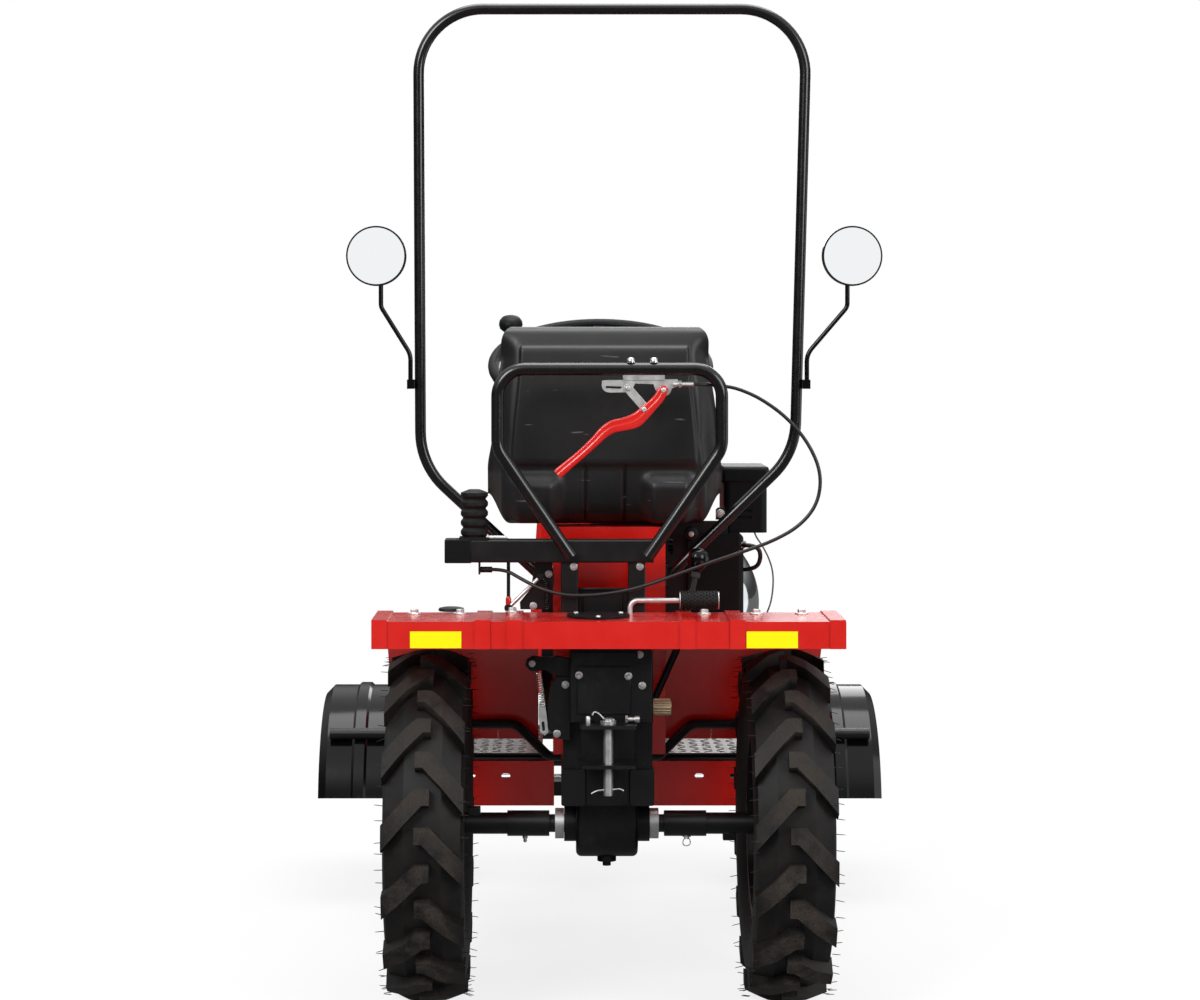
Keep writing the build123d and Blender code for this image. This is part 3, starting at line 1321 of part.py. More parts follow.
# Columns: inner edge of each ridge from the fender's inner side, outer edge
ridge_near = 66.0
ridge_far = 164.0
ridge_width = 30.0
ridge_bands = ((ridge_near, ridge_near + ridge_width), (ridge_far, ridge_far + ridge_width))
with BuildPart() as fenders:
    for name, side in sides:
        outer = fender_outer_radius
        inner = outer - fender_sheet
        inside = side * fender_inner_x
        outside = side * fender_outer_x
        sheet = side * fender_sheet
        lip = outer - fender_skirt
        arc_plane = Plane((0, front_axle_y, front_tyre_radius), x_dir=(1, 0, 0),
                          z_dir=(0, -cos(radians(fender_start)), sin(radians(fender_start))))
        crest = outer + ridge_height
        ridge_line = []
        for near, far in ridge_bands:
            ridge_line += [
                (inside + side * near, outer), (inside + side * (near + ridge_height), crest),
                (inside + side * (far - ridge_height), crest), (inside + side * far, outer)]
        with BuildSketch(arc_plane):
            with BuildLine():
                Polyline(
                    (inside, inner), (inside, outer), *ridge_line, (outside - side * fender_shoulder, outer),
                    (outside, outer - fender_shoulder), (outside, lip), (outside - sheet, lip),
                    (outside - sheet, outer - fender_shoulder - fender_sheet / 2),
                    (outside - side * fender_shoulder - sheet / 2, inner), close=True)
            make_face()
        revolve(axis=Axis((0, front_axle_y, front_tyre_radius), (1, 0, 0)), revolution_arc=fender_sweep)
save(fenders.part, "front_fenders")

# Front cowl: a red sheet shell over the steering box, with a grille and two lamps
cowl_half = 150.0
cowl_rear_reach = 130.0
cowl_rear = front_axle_y - cowl_rear_reach
cowl_front_reach = 150.0
cowl_front = front_axle_y + cowl_front_reach
cowl_bottom = rail_top + touch_gap
cowl_top = 790.0
cowl_sheet = 3.0
cowl_corner = 34.0
cowl_taper = 4.0
cowl_window_half = 66.0
cowl_window_top = 690.0
with BuildPart() as front_cowl:
    with BuildSketch(Plane.XY.offset(cowl_bottom)):
        with Locations((0, (cowl_rear + cowl_front) / 2)):
            RectangleRounded(2 * cowl_half, cowl_front - cowl_rear, cowl_corner)
    extrude(amount=cowl_top - cowl_bottom, taper=cowl_taper)
    top_edges = front_cowl.faces().sort_by(Axis.Z)[-1].edges()
    fillet(top_edges, cowl_corner / 2)
    open_faces = front_cowl.faces().sort_by(Axis.Z)[0]
    offset(amount=-cowl_sheet, openings=open_faces)
    with BuildSketch(Plane.XZ.offset(-cowl_rear + cowl_corner)):
        with Locations((0, (cowl_bottom + cowl_window_top) / 2)):
            Rectangle(2 * cowl_window_half, cowl_window_top - cowl_bottom)
    extrude(amount=-3 * cowl_corner, mode=Mode.SUBTRACT)
save(front_cowl.part, "front_cowl")

# Grille and lamps: a barred panel in front of the cowl between two round lamps
grille_half = 58.0
grille_foot = 70.0
grille_height = 230.0
grille_depth = 9.0
grille_bar = 6.0
grille_bars = 10
lamp_radius = 34.0
lamp_offset = 96.0
lamp_rise = 240.0
lamp_depth = 26.0
lamp_draft = 6.0
front_panel = Plane(
    (0, cowl_front, cowl_bottom), x_dir=(-1, 0, 0),
    z_dir=(0, cos(radians(cowl_taper)), sin(radians(cowl_taper))))
with BuildPart() as front_grille:
    with BuildSketch(front_panel.offset(touch_gap)):
        with Locations((0, grille_foot + grille_height / 2)):
            Rectangle(2 * grille_half, grille_height)
            Rectangle(2 * (grille_half - grille_bar), grille_height - 2 * grille_bar, mode=Mode.SUBTRACT)
        bar_pitch = (grille_height - grille_bar) / grille_bars
        for step in range(1, grille_bars):
            with Locations((0, grille_foot + grille_bar / 2 + step * bar_pitch)):
                Rectangle(2 * grille_half, grille_bar)
    extrude(amount=grille_depth)
save(front_grille.part, "front_grille")

with BuildPart() as headlamps:
    with BuildSketch(front_panel.offset(touch_gap)):
        with Locations(*[(side * lamp_offset, lamp_rise) for name, side in sides]):
            Circle(lamp_radius)
    extrude(amount=lamp_depth, taper=lamp_draft)
save(headlamps.part, "headlamps")

# Steering column, console and wheel
column_tilt = 22.9
wheel_centre_reach = 680.0
wheel_centre_y = rear_axle_y + wheel_centre_reach
wheel_centre_z = 1065.0
wheel_centre_x = 0.0
steer_radius = 208.0
steer_tube = 24.0
column_tube = 38.0
column_down = (0, sin(radians(column_tilt)), -cos(radians(column_tilt)))
hub_drop = 40.0
hub_radius = 32.0
hub_height = 46.0
box_half_size = 34.0
box_height = 72.0


def along_column(distance):
    """A point on the column's axis, measured down from the steering wheel's plane."""
    return (wheel_centre_x, wheel_centre_y + distance * sin(radians(column_tilt)),
            wheel_centre_z - distance * cos(radians(column_tilt)))


column_foot = (wheel_centre_z - rail_top - box_height / 2) / cos(radians(column_tilt))
with BuildPart() as steering_column:
    add(rod(along_column(hub_drop + touch_gap), along_column(column_foot), column_tube))
    with BuildSketch(Plane.XY.offset(rail_top + touch_gap)):
        with Locations((0, pitman_y - box_half_size / 2)):
            RectangleRounded(2 * rail_middle, 3 * box_half_size, rail_corner)
    extrude(amount=box_height)
    with BuildSketch(Plane.XY.offset(rail_top)):
        with Locations((0, pitman_y)):
            Circle(pitman_shaft / 2 + running_gap)
    extrude(amount=pitman_insert + touch_gap, mode=Mode.SUBTRACT)
save(steering_column.part, "steering_column")

spoke_width = 22.0
spoke_thickness = 8.0
knob_radius = 20.0
knob_height = 30.0
knob_neck = 7.0
knob_neck_height = 22.0
knob_angle = 148.0
wheel_plane = Plane(along_column(0), x_dir=(1, 0, 0),
                    z_dir=(0, -sin(radians(column_tilt)), cos(radians(column_tilt))))
with BuildPart() as steering_wheel:
    with BuildSketch(Plane(along_column(0), x_dir=(1, 0, 0), z_dir=(0, -cos(radians(column_tilt)), -sin(radians(column_tilt))))):
        with Locations((steer_radius, 0)):
            Circle(steer_tube / 2)
    revolve(axis=Axis(along_column(0), tuple(wheel_plane.z_dir)))
    with BuildSketch(wheel_plane.offset(-hub_drop)):
        Circle(hub_radius)
    extrude(amount=hub_height)
    for turn in (90, 210, 330):
        with BuildSketch(wheel_plane.offset(-spoke_thickness / 2)):
            with Locations((steer_radius / 2 * cos(radians(turn)), steer_radius / 2 * sin(radians(turn)))):
                Rectangle(steer_radius, spoke_width, rotation=turn)
        extrude(amount=spoke_thickness)
    knob_spot = (steer_radius * cos(radians(knob_angle)), steer_radius * sin(radians(knob_angle)))
    with BuildSketch(wheel_plane):
        with Locations(knob_spot):
            Circle(knob_neck)
    extrude(amount=steer_tube / 2 + knob_neck_height)
    with BuildSketch(wheel_plane.offset(steer_tube / 2 + knob_neck_height)):
        with Locations(knob_spot):
            Circle(knob_radius)
    extrude(amount=knob_height)
save(steering_wheel.part, "steering_wheel")

# Front bumper: a bent tube on two stays from the rails' front plate
bumper_tube = 27.0
bumper_half = 200.0
bumper_bend = 50.0
bumper_return = 96.0
bumper_stay = 20.0
bumper_z = 370.0
bumper_line = front_axle_y + front_overhang - bumper_tube / 2
bumper_back = rail_front + front_plate_thickness + touch_gap
with BuildPart() as front_bumper:
    add(tube_path(
        [(-bumper_half, bumper_line - bumper_return, bumper_z), (-bumper_half, bumper_line, bumper_z),
         (bumper_half, bumper_line, bumper_z), (bumper_half, bumper_line - bumper_return, bumper_z)],
        [bumper_bend, bumper_bend], bumper_tube))
    for name, side in sides:
        add(rod((side * rail_middle, bumper_back, bumper_z), (side * rail_middle, bumper_line, bumper_z), bumper_stay))
save(front_bumper.part, "front_bumper")

# Gear lever with its knob, and the bent foot pedal with a rubber sleeve
gear_foot_x = 128.0
gear_foot_reach = 34.0
gear_foot_z = 602.0
gear_foot = (gear_foot_x, rear_axle_y + gear_foot_reach, gear_foot_z)
gear_top_x = 157.0
gear_top_reach = 50.0
gear_top_z = 735.0
gear_top = (gear_top_x, rear_axle_y + gear_top_reach, gear_top_z)
gear_rod = 12.0
gear_knob = 17.0
with BuildPart() as gear_lever:
    add(rod((case_right + gear_rod / 2 + touch_gap, rear_axle_y + gear_foot_reach, case_bottom + gear_rod), gear_foot, gear_rod))
    add(rod(gear_foot, gear_top, gear_rod))
    with Locations(gear_foot):
        Sphere(gear_rod / 2)
    with Locations(gear_top):
        Sphere(gear_knob)
save(gear_lever.part, "gear_lever")

pedal_rod = 9.0
pedal_z = 675.0
pedal_y = rear_axle_y - pedal_setback
sleeve_radius = 14.5
sleeve_length = 66.0
pedal_end = 187.0
with BuildPart() as foot_pedal:
    add(tube_path(
        [(pedal_x, pedal_y, case_top + touch_gap), (pedal_x, pedal_y, pedal_z), (pedal_end, pedal_y, pedal_z)],
        [pedal_rod * 1.5], pedal_rod))
    with BuildSketch(Plane.YZ.offset(pedal_end - sleeve_length)):
        with Locations((pedal_y, pedal_z)):
            Circle(sleeve_radius)
    extrude(amount=sleeve_length)
save(foot_pedal.part, "foot_pedal")

# Lever cable: from the lever's adjuster in a wide bow to the right and back under the beam
cable_diameter = 6.0
# Columns: across the tractor, back from the rear axle, height
cable_points = [
    (146.0, -55.8, 1037.0), (163.0, -55.8, 1037.0), (179.0, -43.0, 1035.5), (197.0, -34.0, 1034.0),
    (222.0, -32.0, 1029.0), (260.0, -34.0, 1012.0), (303.0, -42.0, 980.0), (338.0, -50.0, 937.0),
    (358.0, -56.0, 888.0), (352.0, -58.0, 838.0), (322.0, -60.0, 801.0), (278.0, -60.0, 776.0),
    (228.0, -60.0, 758.0), (172.0, -60.0, 740.0), (112.0, -58.0, 718.0), (54.0, -56.0, 697.0),
    (-6.0, -54.0, 685.0), (-64.0, -55.0, 683.0), (-112.0, -46.0, 694.0), (-146.0, -34.0, 711.0),
    (-171.0, -25.0, 725.0), (-193.0, -25.0, 725.0),
]
cable_shift = rear_axle_y
route = [Vector(x, y + cable_shift, z) for x, y, z in cable_points]
radii = []
for before, at, after in zip(route, route[1:], route[2:]):
    turn = (at - before).get_angle(after - at)
    run = min((at - before).length, (after - at).length)
    radii.append(0.45 * run / tan(radians(turn / 2)))
print("cable radii", [round(radius) for radius in radii])
lever_cable = tube_path(route, radii, cable_diameter)
save(lever_cable, "lever_cable")
with BuildLine(mode=Mode.PRIVATE) as cable_line:
    FilletPolyline(*route, radius=radii)
cable_length = sum(edge.length for edge in cable_line.edges())
print("cable length", round(cable_length, 1))
print("cable volume share", lever_cable.volume / (cable_length * pi * cable_diameter**2 / 4))
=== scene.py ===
"""Looks of the mini tractor: its finishes, fasteners, seat, mirrors and cables."""
import bpy
import bmesh
import math
import random
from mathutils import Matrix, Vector


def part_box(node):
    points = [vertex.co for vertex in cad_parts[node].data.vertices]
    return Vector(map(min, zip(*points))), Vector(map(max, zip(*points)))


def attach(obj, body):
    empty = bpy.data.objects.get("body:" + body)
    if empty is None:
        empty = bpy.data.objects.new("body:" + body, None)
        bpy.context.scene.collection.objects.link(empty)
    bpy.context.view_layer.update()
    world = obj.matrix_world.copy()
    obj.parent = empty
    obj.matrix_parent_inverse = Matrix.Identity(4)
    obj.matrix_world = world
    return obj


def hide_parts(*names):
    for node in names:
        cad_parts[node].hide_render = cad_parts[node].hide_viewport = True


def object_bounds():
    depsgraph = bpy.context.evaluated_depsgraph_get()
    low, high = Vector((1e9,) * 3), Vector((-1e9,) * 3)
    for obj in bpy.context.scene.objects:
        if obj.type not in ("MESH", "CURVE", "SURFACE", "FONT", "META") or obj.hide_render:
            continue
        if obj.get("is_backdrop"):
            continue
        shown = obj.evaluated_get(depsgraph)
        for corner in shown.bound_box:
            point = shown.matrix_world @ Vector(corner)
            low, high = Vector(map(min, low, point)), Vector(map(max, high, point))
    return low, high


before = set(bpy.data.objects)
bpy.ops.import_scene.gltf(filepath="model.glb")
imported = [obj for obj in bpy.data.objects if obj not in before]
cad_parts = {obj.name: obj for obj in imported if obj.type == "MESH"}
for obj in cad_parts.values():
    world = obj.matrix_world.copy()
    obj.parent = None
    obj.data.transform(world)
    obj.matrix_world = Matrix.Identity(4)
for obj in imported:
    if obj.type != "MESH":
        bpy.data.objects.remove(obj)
cad_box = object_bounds()
rear_axle = -0.473

# Studio camera: the photograph is taken level from 4.5 m behind the rear axle, a little left of
# the middle and at chest height, with the frame shifted down to take in the wheels.
photo_width = 1200
stand_back = 4.5
eye_x = -0.079
eye_height = 1.096
camera_data = bpy.data.cameras.new("camera")
camera_data.lens = 79.8
camera_data.sensor_width = 36.0
camera_data.shift_x = 40 / photo_width
camera_data.shift_y = -151 / photo_width
camera = bpy.data.objects.new("camera", camera_data)
camera.location = (eye_x, rear_axle - stand_back, eye_height)
camera.rotation_euler = (math.radians(90), 0, 0)
bpy.context.scene.collection.objects.link(camera)
bpy.context.scene.camera = camera
bpy.context.scene.view_settings.view_transform = "Standard"

# Paper sweep: matt white paper on the floor, lit white for the camera. It fades to pure white
# away from the tractor, as in the cut-out photograph, and looks dim in what is glossy.


def shade(text):
    """An sRGB hex colour as linear red, green, blue and alpha."""
    parts = [int(text[i:i + 2], 16) / 255 for i in (1, 3, 5)]
    return tuple(p / 12.92 if p <= 0.04045 else ((p + 0.055) / 1.055) ** 2.4 for p in parts) + (1.0,)


def add_node(tree, kind, settings=None, links=None):
    """Adds a node, sets its properties and sockets, and links what feeds it."""
    node = tree.nodes.new("ShaderNode" + kind)
    for key, value in (settings or {}).items():
        if isinstance(key, str) and key not in node.inputs:
            setattr(node, key, value)
        else:
            node.inputs[key].default_value = value
    for key, source in (links or {}).items():
        tree.links.new(source, node.inputs[key])
    return node


def new_material(name):
    """An empty material with its node tree."""
    material = bpy.data.materials.new(name)
    material.use_nodes = True
    material.node_tree.nodes.clear()
    return material, material.node_tree


def pattern(tree, kind, settings, outlet="Fac"):
    """A texture laid on the object's own coordinates."""
    coords = add_node(tree, "TexCoord")
    return add_node(tree, "Tex" + kind, settings, {"Vector": coords.outputs["Object"]}).outputs[outlet]


def noise(tree, scale, detail, rough=0.5):
    """A cloud laid on the object's own coordinates."""
    return pattern(tree, "Noise", {"Scale": scale, "Detail": detail, "Roughness": rough})


def ramp(tree, source, dark, light):
    """A colour between two shades."""
    tone = add_node(tree, "ValToRGB", None, {"Fac": source})
    for element, colour in zip(tone.color_ramp.elements, (dark, light)):
        element.color = shade(colour)
    return tone.outputs["Color"]


def spread(tree, source, to, start=(0.0, 1.0), curve="LINEAR"):
    """A value mapped from one range to another."""
    settings = {"From Min": start[0], "From Max": start[1], "To Min": to[0], "To Max": to[1],
                "interpolation_type": curve}
    return add_node(tree, "MapRange", settings, {"Value": source}).outputs[0]


paper, tree = new_material("white_paper")
rays = add_node(tree, "LightPath")
tint = ramp(tree, noise(tree, 3.0, 2.0), "#e4e4e4", "#ececec")
matt = add_node(tree, "BsdfDiffuse", {"Roughness": 0.5}, {"Color": tint})
place = add_node(tree, "VectorMath", {"operation": "LENGTH"}, {0: add_node(tree, "TexCoord").outputs["Object"]})
far = spread(tree, place.outputs["Value"], (0.78, 1.0), (0.8, 2.0), "SMOOTHSTEP")
glow, white, dim = (add_node(tree, "Emission", {"Color": shade("#ffffff"), "Strength": strength}).outputs[0]
                    for strength in (0.12, 1.0, 0.16))
both = add_node(tree, "AddShader", None, {0: matt.outputs[0], 1: glow}).outputs[0]
fade = add_node(tree, "MixShader", None, {0: far, 1: both, 2: white}).outputs[0]
lift = add_node(tree, "MixShader", None, {0: rays.outputs["Is Camera Ray"], 1: matt.outputs[0], 2: fade}).outputs[0]
gloss = add_node(tree, "MixShader", None, {0: rays.outputs["Is Glossy Ray"], 1: lift, 2: dim}).outputs[0]
add_node(tree, "OutputMaterial", None, {"Surface": gloss})


def stage_sheet(name, corners, material):
    """A flat four-cornered sheet that belongs to the studio."""
    mesh = bpy.data.meshes.new(name)
    mesh.from_pydata(corners, [], [(0, 1, 2, 3)])
    mesh.materials.append(material)
    sheet = bpy.data.objects.new(name, mesh)
    bpy.context.scene.collection.objects.link(sheet)
    sheet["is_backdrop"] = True


square = ((-1, -1), (1, -1), (1, 1), (-1, 1))
floor_reach = 30.0
floor_drop = -0.0005
stage_sheet("floor", [(floor_reach * a, floor_reach * b, floor_drop) for a, b in square], paper)

# Studio walls: plain white for the camera, half bright for what is matt. Glossy pieces see a dark
# horizon under a bright ceiling.


def maths(tree, operation, *terms):
    """One operation on outputs and floats."""
    settings = {"operation": operation, **{i: term for i, term in enumerate(terms) if isinstance(term, float)}}
    links = {i: term for i, term in enumerate(terms) if not isinstance(term, float)}
    return add_node(tree, "Math", settings, links).outputs[0]


def split(tree, source):
    """The X, Y and Z outputs of a vector."""
    return add_node(tree, "SeparateXYZ", None, {0: source}).outputs


world = bpy.data.worlds.new("studio")
bpy.context.scene.world = world
world.use_nodes = True
tree = world.node_tree
tree.nodes.clear()
rays = add_node(tree, "LightPath")
plain = maths(tree, "MAXIMUM", rays.outputs["Is Camera Ray"], rays.outputs["Is Transmission Ray"])
height = split(tree, add_node(tree, "TexCoord").outputs["Generated"])["Z"]
ceiling = spread(tree, height, (0.05, 0.85), (0.05, 0.7), "SMOOTHSTEP")
room = add_node(tree, "Mix", {"data_type": "FLOAT", 2: 0.42}, {0: rays.outputs["Is Glossy Ray"], 3: ceiling})
power = add_node(tree, "Mix", {"data_type": "FLOAT", 3: 1.0}, {0: plain, 2: room.outputs[0]})
sky = add_node(tree, "Background", {"Color": shade("#ffffff")}, {"Strength": power.outputs[0]})
add_node(tree, "OutputWorld", None, {"Surface": sky.outputs[0]})

# White cards: two lit cards beside the camera, where the tractor's mirrors look. They stand for
# the bright room that the photograph's mirrors show.
card_tone, tree = new_material("white_card")
tint = spread(tree, add_node(tree, "TexNoise", {"Scale": 40.0}).outputs["Fac"], (0.97, 1.0))
lit = add_node(tree, "Emission", {"Color": shade("#ffffff")}, {"Strength": tint})
add_node(tree, "OutputMaterial", None, {"Surface": lit.outputs[0]})
card_half = 0.17
card_height = 1.418
card_back = 4.6
for name, x in (("card_left", -0.715), ("card_right", 0.932)):
    corners = [(x + a * card_half, rear_axle - card_back, card_height + b * card_half) for a, b in square]
    stage_sheet(name, corners, card_tone)

# Lamps: round soft boxes. Columns: name, place, aim, size, power in watts.
for name, place, aim, size, watts in (
        ("key", (-2.6, -4.4, 3.6), (0, -0.3, 0.8), 2.4, 150),
        ("side", (2.7, 0.1, 0.75), (0.3, -0.1, 0.6), 1.8, 8),
        ("fill", (3.4, -3.8, 2.4), (0, -0.3, 0.7), 2.6, 85),
        ("top", (0.2, 0.3, 4.2), (0, 0, 0.5), 3.0, 95),
        ("back", (0.8, 4.6, 2.8), (0, 0, 0.8), 2.8, 60)):
    lamp_data = bpy.data.lights.new(name, "AREA")
    lamp_data.shape = "DISK"
    lamp_data.size = size
    lamp_data.energy = watts
    lamp = bpy.data.objects.new(name, lamp_data)
    lamp.location = place
    lamp.rotation_euler = (Vector(aim) - Vector(place)).to_track_quat("-Z", "Y").to_euler()
    bpy.context.scene.collection.objects.link(lamp)

# Lever cable: a control cable of 6 mm in soft black PVC, half gloss with a fine extruded grain.
# It goes from the lever's adjuster in a wide bow to the right and back to the ferrule under the
# cross beam.


def relief(tree, source, strength, depth, under=None):
    """A bump, on top of another one where there is one."""
    links = {"Height": source, **({"Normal": under} if under else {})}
    return add_node(tree, "Bump", {"Strength": strength, "Distance": depth}, links).outputs["Normal"]


def finish(tree, settings, links):
    """The material's surface."""
    surface = add_node(tree, "BsdfPrincipled", settings, links)
    add_node(tree, "OutputMaterial", None, {"Surface": surface.outputs[0]})


def plain_finish(name, kind, settings, tones, surface, bump=None, rough=None, outlet="Fac"):
    """A finish led by one texture: its tones and, where given, its bump and its roughness."""
    material, tree = new_material(name)
    lead = pattern(tree, kind, settings, outlet)
    links = {"Base Color": ramp(tree, lead, *tones)}
    if bump:
        links["Normal"] = relief(tree, lead, *bump)
    if rough:
        links["Roughness"] = spread(tree, lead, rough)
    finish(tree, surface, links)
    return material


def at(x, forward, z):
    """A point given in mm: across, forward of the rear axle, and up."""
    return Vector((x / 1000, rear_axle + forward / 1000, z / 1000))


def wires(name, runs, thick, material, body="chassis", around=3, steps=6):
    """Round bar of one thickness along one or more runs of points, in mm."""
    curve = bpy.data.curves.new(name, "CURVE")
    curve.dimensions = "3D"
    curve.bevel_depth = thick / 2000
    curve.bevel_resolution = around
    curve.resolution_u = steps
    curve.use_fill_caps = True
    for run in runs:
        line = curve.splines.new("NURBS")
        line.points.add(len(run) - 1)
        for point, spot in zip(line.points, run):
            point.co = (*at(*spot), 1.0)
        line.order_u = 3
        line.use_endpoint_u = True
    curve.materials.append(material)
    made = bpy.data.objects.new(name, curve)
    bpy.context.scene.collection.objects.link(made)
    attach(made, body)
    return made


sheath = plain_finish("pvc_sheath", "Noise", {"Scale": 900.0, "Detail": 3.0}, ("#141415", "#1f1f21"),
                      {"Roughness": 0.38, "IOR": 1.53}, (0.15, 0.0002))
cable_line = [
    (146.0, -55.8, 1037.0), (163.0, -55.8, 1037.0), (179.0, -43.0, 1035.5), (197.0, -34.0, 1034.0),
    (222.0, -32.0, 1029.0), (260.0, -34.0, 1012.0), (303.0, -42.0, 980.0), (338.0, -50.0, 937.0),
    (358.0, -56.0, 888.0), (352.0, -58.0, 838.0), (322.0, -60.0, 801.0), (278.0, -60.0, 776.0),
    (228.0, -60.0, 758.0), (172.0, -60.0, 740.0), (112.0, -58.0, 718.0), (54.0, -56.0, 697.0),
    (-6.0, -54.0, 685.0), (-64.0, -55.0, 683.0), (-112.0, -46.0, 694.0), (-146.0, -34.0, 711.0),
    (-171.0, -25.0, 725.0), (-193.0, -25.0, 725.0),
]
cable = wires("lever_cable_skin", [cable_line], 6, sheath, around=4, steps=8)
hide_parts("lever_cable")

# Red sheet steel: pressed and folded, powder coated. The coat gives a high gloss with a
# fine orange peel. Faces that look up are painted pale pink in patches, partly road dust that
# dulls them and partly a painted reflection of the bright ceiling.


def dress(material, *names):
    """Puts a finish on CAD nodes."""
    for name in names:
        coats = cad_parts[name].data.materials
        coats.clear()
        coats.append(material)


def tinted(tree, share, under, over):
    """One colour over another by a share; each is a hex text or an output."""
    settings, links = {"data_type": "RGBA"}, {0: share}
    for key, colour in ((6, under), (7, over)):
        if isinstance(colour, str):
            settings[key] = shade(colour)
        else:
            links[key] = colour
    return add_node(tree, "Mix", settings, links).outputs[2]


powder_red, tree = new_material("red_powder_coat")
peel = relief(tree, noise(tree, 420.0, 1.0), 0.05, 0.0004)
cloud = noise(tree, 9.0, 6.0, 0.62)
faces = split(tree, add_node(tree, "NewGeometry").outputs["Normal"])
# Pale pink on faces that look up, in patches: partly road dust, partly a painted reflection of the bright ceiling.
topside_tint = maths(tree, "MULTIPLY", spread(tree, faces["Z"], (0.02, 0.27), (0.3, 1.0)),
             spread(tree, cloud, (0.0, 1.0), (0.42, 0.75)))
coat = tinted(tree, topside_tint, ramp(tree, cloud, "#bd0b03", "#d71306"), "#e09a96")
finish(tree, {"IOR": 1.5, "Coat Weight": 0.35, "Coat Roughness": 0.12},
       {"Base Color": coat, "Roughness": spread(tree, topside_tint, (0.24, 0.6)), "Normal": peel})
dress(powder_red, "rear_deck_left", "rear_deck_centre", "rear_deck_right", "seat_pedestal", "skirt_panels",
      "front_cowl")

# Black enamel tube: the roll hoop and the seat guard are drawn steel tube, bent cold and stove
# enamelled. Deep black with a sharp gloss.
enamel = plain_finish("black_stove_enamel", "Noise", {"Scale": 60.0, "Detail": 3.0}, ("#060607", "#0b0b0c"),
                      {"IOR": 1.5, "Coat Weight": 0.3, "Coat Roughness": 0.1}, (0.04, 0.0003), (0.16, 0.34))
dress(enamel, "roll_hoop", "seat_guard")

# Frame paint: welded mild steel, brushed with black chassis paint. Half gloss, with grey dust
# that lies on top and thin wear to bare steel at the edges.
chassis_paint, tree = new_material("black_chassis_paint")
cloud = noise(tree, 22.0, 8.0, 0.65)
brush = relief(tree, noise(tree, 380.0, 4.0), 0.12, 0.0005)
geometry = add_node(tree, "NewGeometry").outputs
patch = spread(tree, cloud, (0.0, 1.0), (0.44, 0.72))
topside_tint = maths(tree, "MULTIPLY", spread(tree, split(tree, geometry["Normal"])["Z"], (0.03, 0.4), (-0.2, 1.0)), patch)
chip = maths(tree, "MULTIPLY", spread(tree, geometry["Pointiness"], (0.0, 0.15), (0.6, 0.75)), patch)
worn = tinted(tree, chip, tinted(tree, topside_tint, "#0c0c0d", "#232120"), "#8c8a86")
finish(tree, {"IOR": 1.5}, {"Base Color": worn, "Roughness": spread(tree, topside_tint, (0.36, 0.75)), "Normal": brush})
dress(chassis_paint, "main_frame", "front_axle_beam", "knuckle_left", "knuckle_right", "pitman_arm",
      "rear_wheel_left", "rear_wheel_right", "hitch_clevis", "deck_braces", "cross_beam", "belt_guard",
      "step_frame", "steering_column", "front_bumper", "gear_lever")

# Castings: the gear case and the axle housing are sand-cast iron, painted black over the
# skin. The sand leaves a grain of about 1.5 mm.
casting, tree = new_material("painted_cast_iron")
sand = relief(tree, noise(tree, 260.0, 5.0, 0.6), 0.32, 0.0009)
cloud = noise(tree, 16.0, 8.0, 0.66)
tone = tinted(tree, spread(tree, cloud, (0.0, 0.35), (0.5, 0.8)), "#0e0e0f", "#34312e")
finish(tree, {"Roughness": 0.4, "IOR": 1.5, "Specular IOR Level": 0.3}, {"Base Color": tone, "Normal": sand})
dress(casting, "final_drive", "transmission_case")

# Zinc plate: turned and pressed steel with a clear-passivated zinc coat. Soft grey metal
# with a faint cloud in its gloss.
zinc = plain_finish("zinc_plated_steel", "Noise", {"Scale": 90.0, "Detail": 5.0}, ("#d2d4d4", "#efefec"),
                    {"Metallic": 1.0}, rough=(0.3, 0.62))
dress(zinc, "tie_rod", "shaft_collars", "hitch_pin", "muffler", "foot_pedal")

# Starter cover: a pressed steel dome over the pull starter, nickel and chrome plated. Its mirror
# gloss has a faint haze.
chrome, tree = new_material("chrome_plate")
haze = spread(tree, noise(tree, 30.0, 3.0), (0.04, 0.12))
finish(tree, {"Metallic": 1.0, "Base Color": shade("#dfe2e4")}, {"Roughness": haze})
dress(chrome, "starter_cover")

# Footboards: rolled aluminium chequer plate, dull grey and brushed by shoes. Its bars cross by
# turns, brighter on top than the ground between them.
plate, tree = new_material("aluminium_chequer_plate")
coords = add_node(tree, "TexCoord")
slanted = add_node(tree, "Mapping", {"Rotation": (0, 0, math.radians(45)), "Scale": (50, 50, 50)},
                   {"Vector": coords.outputs["Object"]})
cell = split(tree, slanted.outputs[0])
parity = maths(tree, "ADD", maths(tree, "FLOOR", cell["X"]), maths(tree, "FLOOR", cell["Y"]))
odd = maths(tree, "ABSOLUTE", maths(tree, "MODULO", parity, 2.0))
inside = [maths(tree, "SUBTRACT", maths(tree, "FRACT", cell[axis]), 0.5) for axis in ("X", "Y")]
bar_half_length = 0.46
bar_half_width = 0.13
bars = []
for along, across in ((0, 1), (1, 0)):
    spot = add_node(tree, "CombineXYZ", None, {0: maths(tree, "DIVIDE", inside[along], bar_half_length),
                                               1: maths(tree, "DIVIDE", inside[across], bar_half_width)})
    bars.append(add_node(tree, "VectorMath", {"operation": "LENGTH"}, {0: spot.outputs[0]}).outputs["Value"])
pick = add_node(tree, "Mix", {"data_type": "FLOAT"}, {0: odd, 2: bars[0], 3: bars[1]})
raised = spread(tree, pick.outputs[0], (0.0, 1.0), (1.15, 0.75), "SMOOTHSTEP")
brushed = spread(tree, noise(tree, 160.0, 4.0), (0.25, 0.45))
finish(tree, {"Metallic": 1.0}, {"Base Color": tinted(tree, raised, "#524e4c", "#948f8c"), "Roughness": brushed,
                                 "Normal": relief(tree, raised, 0.9, 0.0012)})
dress(plate, "footboards")


